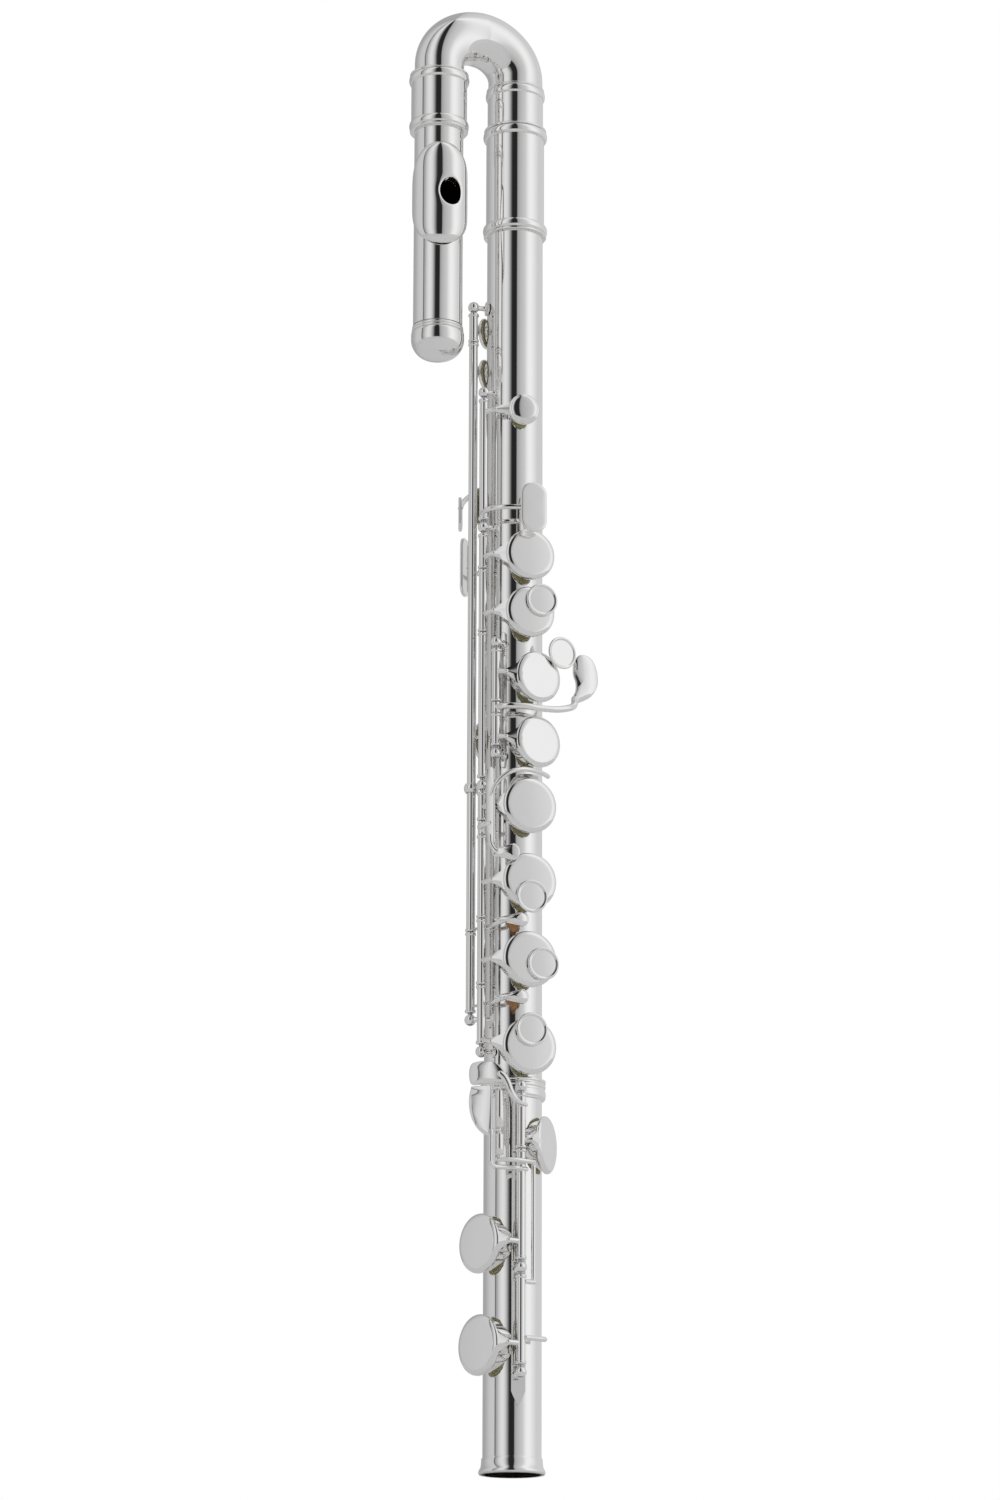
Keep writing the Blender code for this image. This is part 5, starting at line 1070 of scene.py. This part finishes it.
def make_d_sharp_key():
    """The closed D sharp key, its spatula on a tail that narrows towards the rod."""
    z = SOCKET_HIGH_Z - 0.6
    bm = new_key("d_sharp", D_SHARP_LOW_Z, FOOT_POSTS[0] - POST_ROOM)
    spatula = [(7.75, 5.3), (0.4, 5.5), (-3.8, 4.1), (-7.2, 1.0), (-8.6, -2.2), (-7.4, -4.6), (-4.0, -5.3),
               (0.4, -5.4), (5.3, -5.3), (8.6, -5.0), (10.0, -3.3), (10.6, 0.3), (10.0, 3.5)]
    plate(bm, closed_curve(spatula, 4), 1.7, wrapped(TUBE_R + 14.55, 53, z), edge=0.7, crown=0.7)
    tail = [(14.3, 41.5, z - 1.0), (14.4, 37.5, z - 2.8), (14.45, 34.3, z - 5.6), (14.4, 32, z - 8.6)]
    tail += [(14.0, 29, z - 11.1), (12.7, 25.5, z - 12.9), (10.4, 21.5, z - 13.6), (8.5, 17.5, z - 13.8)]
    round_wire(bm, 2.0, [*tail, (7.3, 12.5, z - 13.8)], end_radius=0.9)
    key_and_pad(bm, "d_sharp")


def paddle_outline(width, height):
    """Straight on one side and bulging on the other, pointed at its lower end."""
    steps, side = 24, -width / 2 - 0.9
    outline = []
    for i in range(steps + 1):
        share = i / steps
        bulge = math.sin(math.pi * min(1.0, 0.28 + 0.72 * share)) ** 0.55 if share < 1 else 0.0
        outline.append((width * (bulge - 0.5), height * (0.5 - share)))
    return counter_clockwise(outline + [(side, -height / 2), (side, height / 2)])


def make_c_sharp_key():
    """The C sharp key: its bar carries the paddle and, between two lugs, the pin of the first roller."""
    arm_z, (low, high) = C_SHARP_ARM_Z, ROLLER_1
    height, phi, lug = 15.35, 52.5, 0.8
    bm = new_key("c_sharp", FOOT_POSTS[1] + POST_ROOM, D_SHARP_LOW_Z)
    plate(bm, paddle_outline(10.6, 23.6), 1.6, wrapped(TUBE_R + 15.55, 63.6, 162.2), edge=0.6, crown=0.5)
    bar = [(height, phi, arm_z + 16.7), (height, phi, arm_z + 8.2), (height - 0.3, phi, arm_z + 1.8)]
    arm = ((13.85, 49), (10.95, 38), (10.45, 27), (8.35, 19), (7.3, 12.5))
    round_wire(bm, 1.1, bar + [(rise, turn, arm_z) for rise, turn in arm])
    ends = (low - GAP - lug, high + GAP + lug)
    for z in ends:
        sweep(bm, [spot(TUBE_R + height, phi + 1, z), spot(ROLLER_RHO, ROLLER_PHI, z)], lug)
    sweep(bm, [spot(ROLLER_RHO, ROLLER_PHI, z) for z in ends], ROLLER_PIN_R)
    key_and_pad(bm, "c_sharp")


def make_low_c_key():
    """The low C cup, with the thin side rod that carries it past the C sharp tube to its roller."""
    z, bracket_z = LOW_C_ARM_Z, FOOT_POSTS[1] - 6.5
    height, phi = 6.85, 0.5
    bm = new_key("low_c", FOOT_POSTS[2] + POST_ROOM, FOOT_POSTS[1] - POST_ROOM)
    sweep(bm, [spot(TUBE_R + height, phi, bracket_z), spot(TUBE_R + height, phi, z)], 1.05)
    round_wire(bm, 1.1, [(7.15, 12.6, bracket_z), (height, phi - 2, bracket_z)])
    round_wire(bm, 1.1, [(height, phi - 2, z), (9.15, 6, z), (10.55, 18.5, z), (11.75, 31, z),
                         (ROLLER_RHO - TUBE_R, ROLLER_PHI + 2, z)])
    sweep(bm, [spot(ROLLER_RHO, ROLLER_PHI, end) for end in (z, ROLLER_2[1] + GAP)], ROLLER_PIN_R)
    round_wire(bm, 1.2, [(7.95, 13, LOW_C_Z + 2.4), (7.95, -17, LOW_C_Z + 2.4)])
    key_and_pad(bm, "low_c")


def make_rollers():
    """The two rollers, rounded at both ends, where their keys rest."""
    r, bore = ROLLER_R, ROLLER_PIN_R + 0.1
    for key, (low, high) in (("c_sharp", ROLLER_1), ("low_c", ROLLER_2)):
        bm = bmesh.new()
        profile = [(bore, low), (r - 0.7, low), (r - 0.25, low + 0.2), (r, low + 0.7),
                   (r, high - 0.7), (r - 0.25, high - 0.2), (r - 0.7, high), (bore, high)]
        place = swung(key) @ Matrix.Translation(spot(ROLLER_RHO, ROLLER_PHI, 0))
        turned(bm, profile, place, HINGE_SIDES, loop=True)
        finished(bm, f"{key}_roller", "key_plate", f"{key}_roller")


for make in (make_body_tube, make_foot_tube, make_end_ring, make_barrel, make_head_tenon, make_crook,
             make_leg_sleeve, make_embouchure_tube, make_lip_plate, make_crown, make_ribs, make_foot_rib,
             make_rods, make_main_keys, make_small_c_key, make_g_keys, make_g_sharp_key,
             make_b_flat_side_lever, make_thumb_keys, make_trill_keys, make_d_sharp_key, make_c_sharp_key,
             make_low_c_key, make_rollers):
    make()
for node, material in (("stopper_cork", CORK), ("stopper_screw", STEEL)):
    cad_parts[node].data.materials[0] = material


# Camera, in metres: where it stands, how far it is turned about Z, tilted up and rolled

CAMERA_PLACE = (-1.02491, -1.79840, -0.19493)
CAMERA_TURN, CAMERA_TILT, CAMERA_ROLL = -29.5, 14.4775, 0.1906
LENS, SENSOR = 108.71, 36.0
camera_data = bpy.data.cameras.new("camera")
camera_data.lens = LENS
camera_data.sensor_fit = "AUTO"
camera_data.sensor_width = SENSOR
camera = bpy.data.objects.new("camera", camera_data)
camera.matrix_world = (Matrix.Translation(CAMERA_PLACE)
                       @ Matrix.Rotation(math.radians(CAMERA_TURN), 4, "Z")
                       @ Matrix.Rotation(math.radians(90 + CAMERA_TILT), 4, "X")
                       @ Matrix.Rotation(math.radians(CAMERA_ROLL), 4, "Z"))
bpy.context.scene.collection.objects.link(camera)
bpy.context.scene.camera = camera


# Studio, in metres: a pale floor, a dome of light and dark that only reflections see, and a white world

FLOOR_R, FLOOR_DROP = 3.0, 0.0004
DOME_R, DOME_LOW_Z, DOME_HIGH_Z, DOME_RISE, DOME_SIDES = 4.0, -2.5, 4.0, 2.4, 180

# The dome's light by the angle in degrees from the camera, positive to the picture's right
DOME_STOPS = (
    (-180, 0.42), (-134, 0.40), (-118, 0.48), (-98, 0.60), (-78, 0.62), (-73, 0.60), (-71, 0.12), (-68, 0.12),
    (-66, 0.38), (-60, 0.46), (-52, 0.66), (-40, 0.80), (-33, 0.76), (-26, 0.62), (-20, 0.38), (-13, 0.08),
    (-10, 0.02), (8, 0.02), (10, 0.34), (14, 0.42), (22, 0.50), (30, 0.56), (42, 0.64), (50, 0.80),
    (60, 0.93), (72, 0.93), (87, 0.82), (98, 0.74), (110, 0.66), (143, 0.66), (180, 0.55),
)


def make_floor():
    """A matt pale disc just under the foot, clear when it is seen from below."""
    bm = bmesh.new()
    place = Matrix.Translation((0, 0, -FLOOR_DROP))
    bmesh.ops.create_circle(bm, cap_ends=True, segments=TUBE_SIDES, radius=FLOOR_R, matrix=place)
    floor = linked(bm, "floor")
    material, nodes, links = new_material("floor")
    shader = nodes["Principled BSDF"]
    shader.inputs["Base Color"].default_value = (0.92, 0.92, 0.92, 1)
    shader.inputs["Roughness"].default_value = 0.8
    clear, mix = shader_node(nodes, "BsdfTransparent"), shader_node(nodes, "MixShader")
    links.new(shader_node(nodes, "NewGeometry").outputs["Backfacing"], mix.inputs["Fac"])
    links.new(shader.outputs["BSDF"], mix.inputs[1])
    links.new(clear.outputs["BSDF"], mix.inputs[2])
    links.new(mix.outputs["Shader"], nodes["Material Output"].inputs["Surface"])
    floor.data.materials.append(material)


def make_wall():
    """The dome round the studio, hidden from the camera: an upright wall, closed above."""
    turns = [2 * math.pi * k / DOME_SIDES for k in range(DOME_SIDES)]
    places = [(DOME_R, DOME_LOW_Z)]
    for a in (math.radians(a) for a in range(0, 85, 12)):
        places.append((DOME_R * math.cos(a), DOME_HIGH_Z + DOME_RISE * math.sin(a)))
    rings = [[Vector((r * math.cos(t), r * math.sin(t), z)) for t in turns] for r, z in places]
    bm = bmesh.new()
    skin(bm, rings + [[Vector((0, 0, DOME_HIGH_Z + DOME_RISE))]])
    bmesh.ops.delete(bm, geom=[f for f in bm.faces if len(f.verts) > 4], context="FACES_ONLY")
    wall = linked(bm, "wall")
    wall.rotation_euler.z = math.atan2(camera.location.y, camera.location.x)
    wall.visible_camera = False
    wall.visible_shadow = False
    material, nodes, links = new_material("wall")
    nodes.remove(nodes["Principled BSDF"])
    parts, angle = shader_node(nodes, "SeparateXYZ"), shader_node(nodes, "Math")
    angle.operation = "ARCTAN2"
    share = shader_node(nodes, "MapRange", From_Min=-math.pi, From_Max=math.pi)
    ramp, light = shader_node(nodes, "ValToRGB"), shader_node(nodes, "Emission")
    links.new(shader_node(nodes, "TexCoord").outputs["Object"], parts.inputs["Vector"])
    links.new(parts.outputs["Y"], angle.inputs[0])
    links.new(parts.outputs["X"], angle.inputs[1])
    links.new(angle.outputs["Value"], share.inputs["Value"])
    links.new(share.outputs["Result"], ramp.inputs["Fac"])
    elements = ramp.color_ramp.elements
    while len(elements) < len(DOME_STOPS):
        elements.new(0.5)
    for element, (degrees, level) in zip(elements, DOME_STOPS):
        element.position = (degrees + 180) / 360
        element.color = (level, level, level * 1.01, 1)
    links.new(ramp.outputs["Color"], light.inputs["Color"])
    links.new(light.outputs["Emission"], nodes["Material Output"].inputs["Surface"])
    wall.data.materials.append(material)


def make_world():
    """A white world, a little dimmer as light on matt surfaces than as what is seen or mirrored."""
    world = bpy.data.worlds.new("studio")
    world.use_nodes = True
    bpy.context.scene.world = world
    nodes, links = world.node_tree.nodes, world.node_tree.links
    rays = shader_node(nodes, "LightPath")
    seen = rays.outputs["Is Camera Ray"]
    for kind in ("Is Glossy Ray", "Is Transmission Ray"):
        either = shader_node(nodes, "Math")
        either.operation = "MAXIMUM"
        links.new(seen, either.inputs[0])
        links.new(rays.outputs[kind], either.inputs[1])
        seen = either.outputs["Value"]
    level = shader_node(nodes, "MapRange", To_Min=0.85, To_Max=1.0)
    links.new(seen, level.inputs["Value"])
    links.new(level.outputs["Result"], nodes["Background"].inputs["Strength"])
    nodes["Background"].inputs["Color"].default_value = (1, 1, 1, 1)


def make_lamp(name, place, target, size, watts):
    """A square lamp turned to its target, which mirrors don't show."""
    lamp = bpy.data.lights.new(name, "AREA")
    lamp.size = size
    lamp.energy = watts
    obj = bpy.data.objects.new(name, lamp)
    obj.location = place
    obj.visible_glossy = False
    obj.rotation_euler = (Vector(target) - Vector(place)).to_track_quat("-Z", "Y").to_euler()
    bpy.context.scene.collection.objects.link(obj)


make_floor()
make_wall()
make_world()
make_lamp("overhead", (-1.2, -1.0, 2.6), (0, 0, 0.4), 1.2, 6.0)
bpy.context.scene.view_settings.view_transform = "Standard"
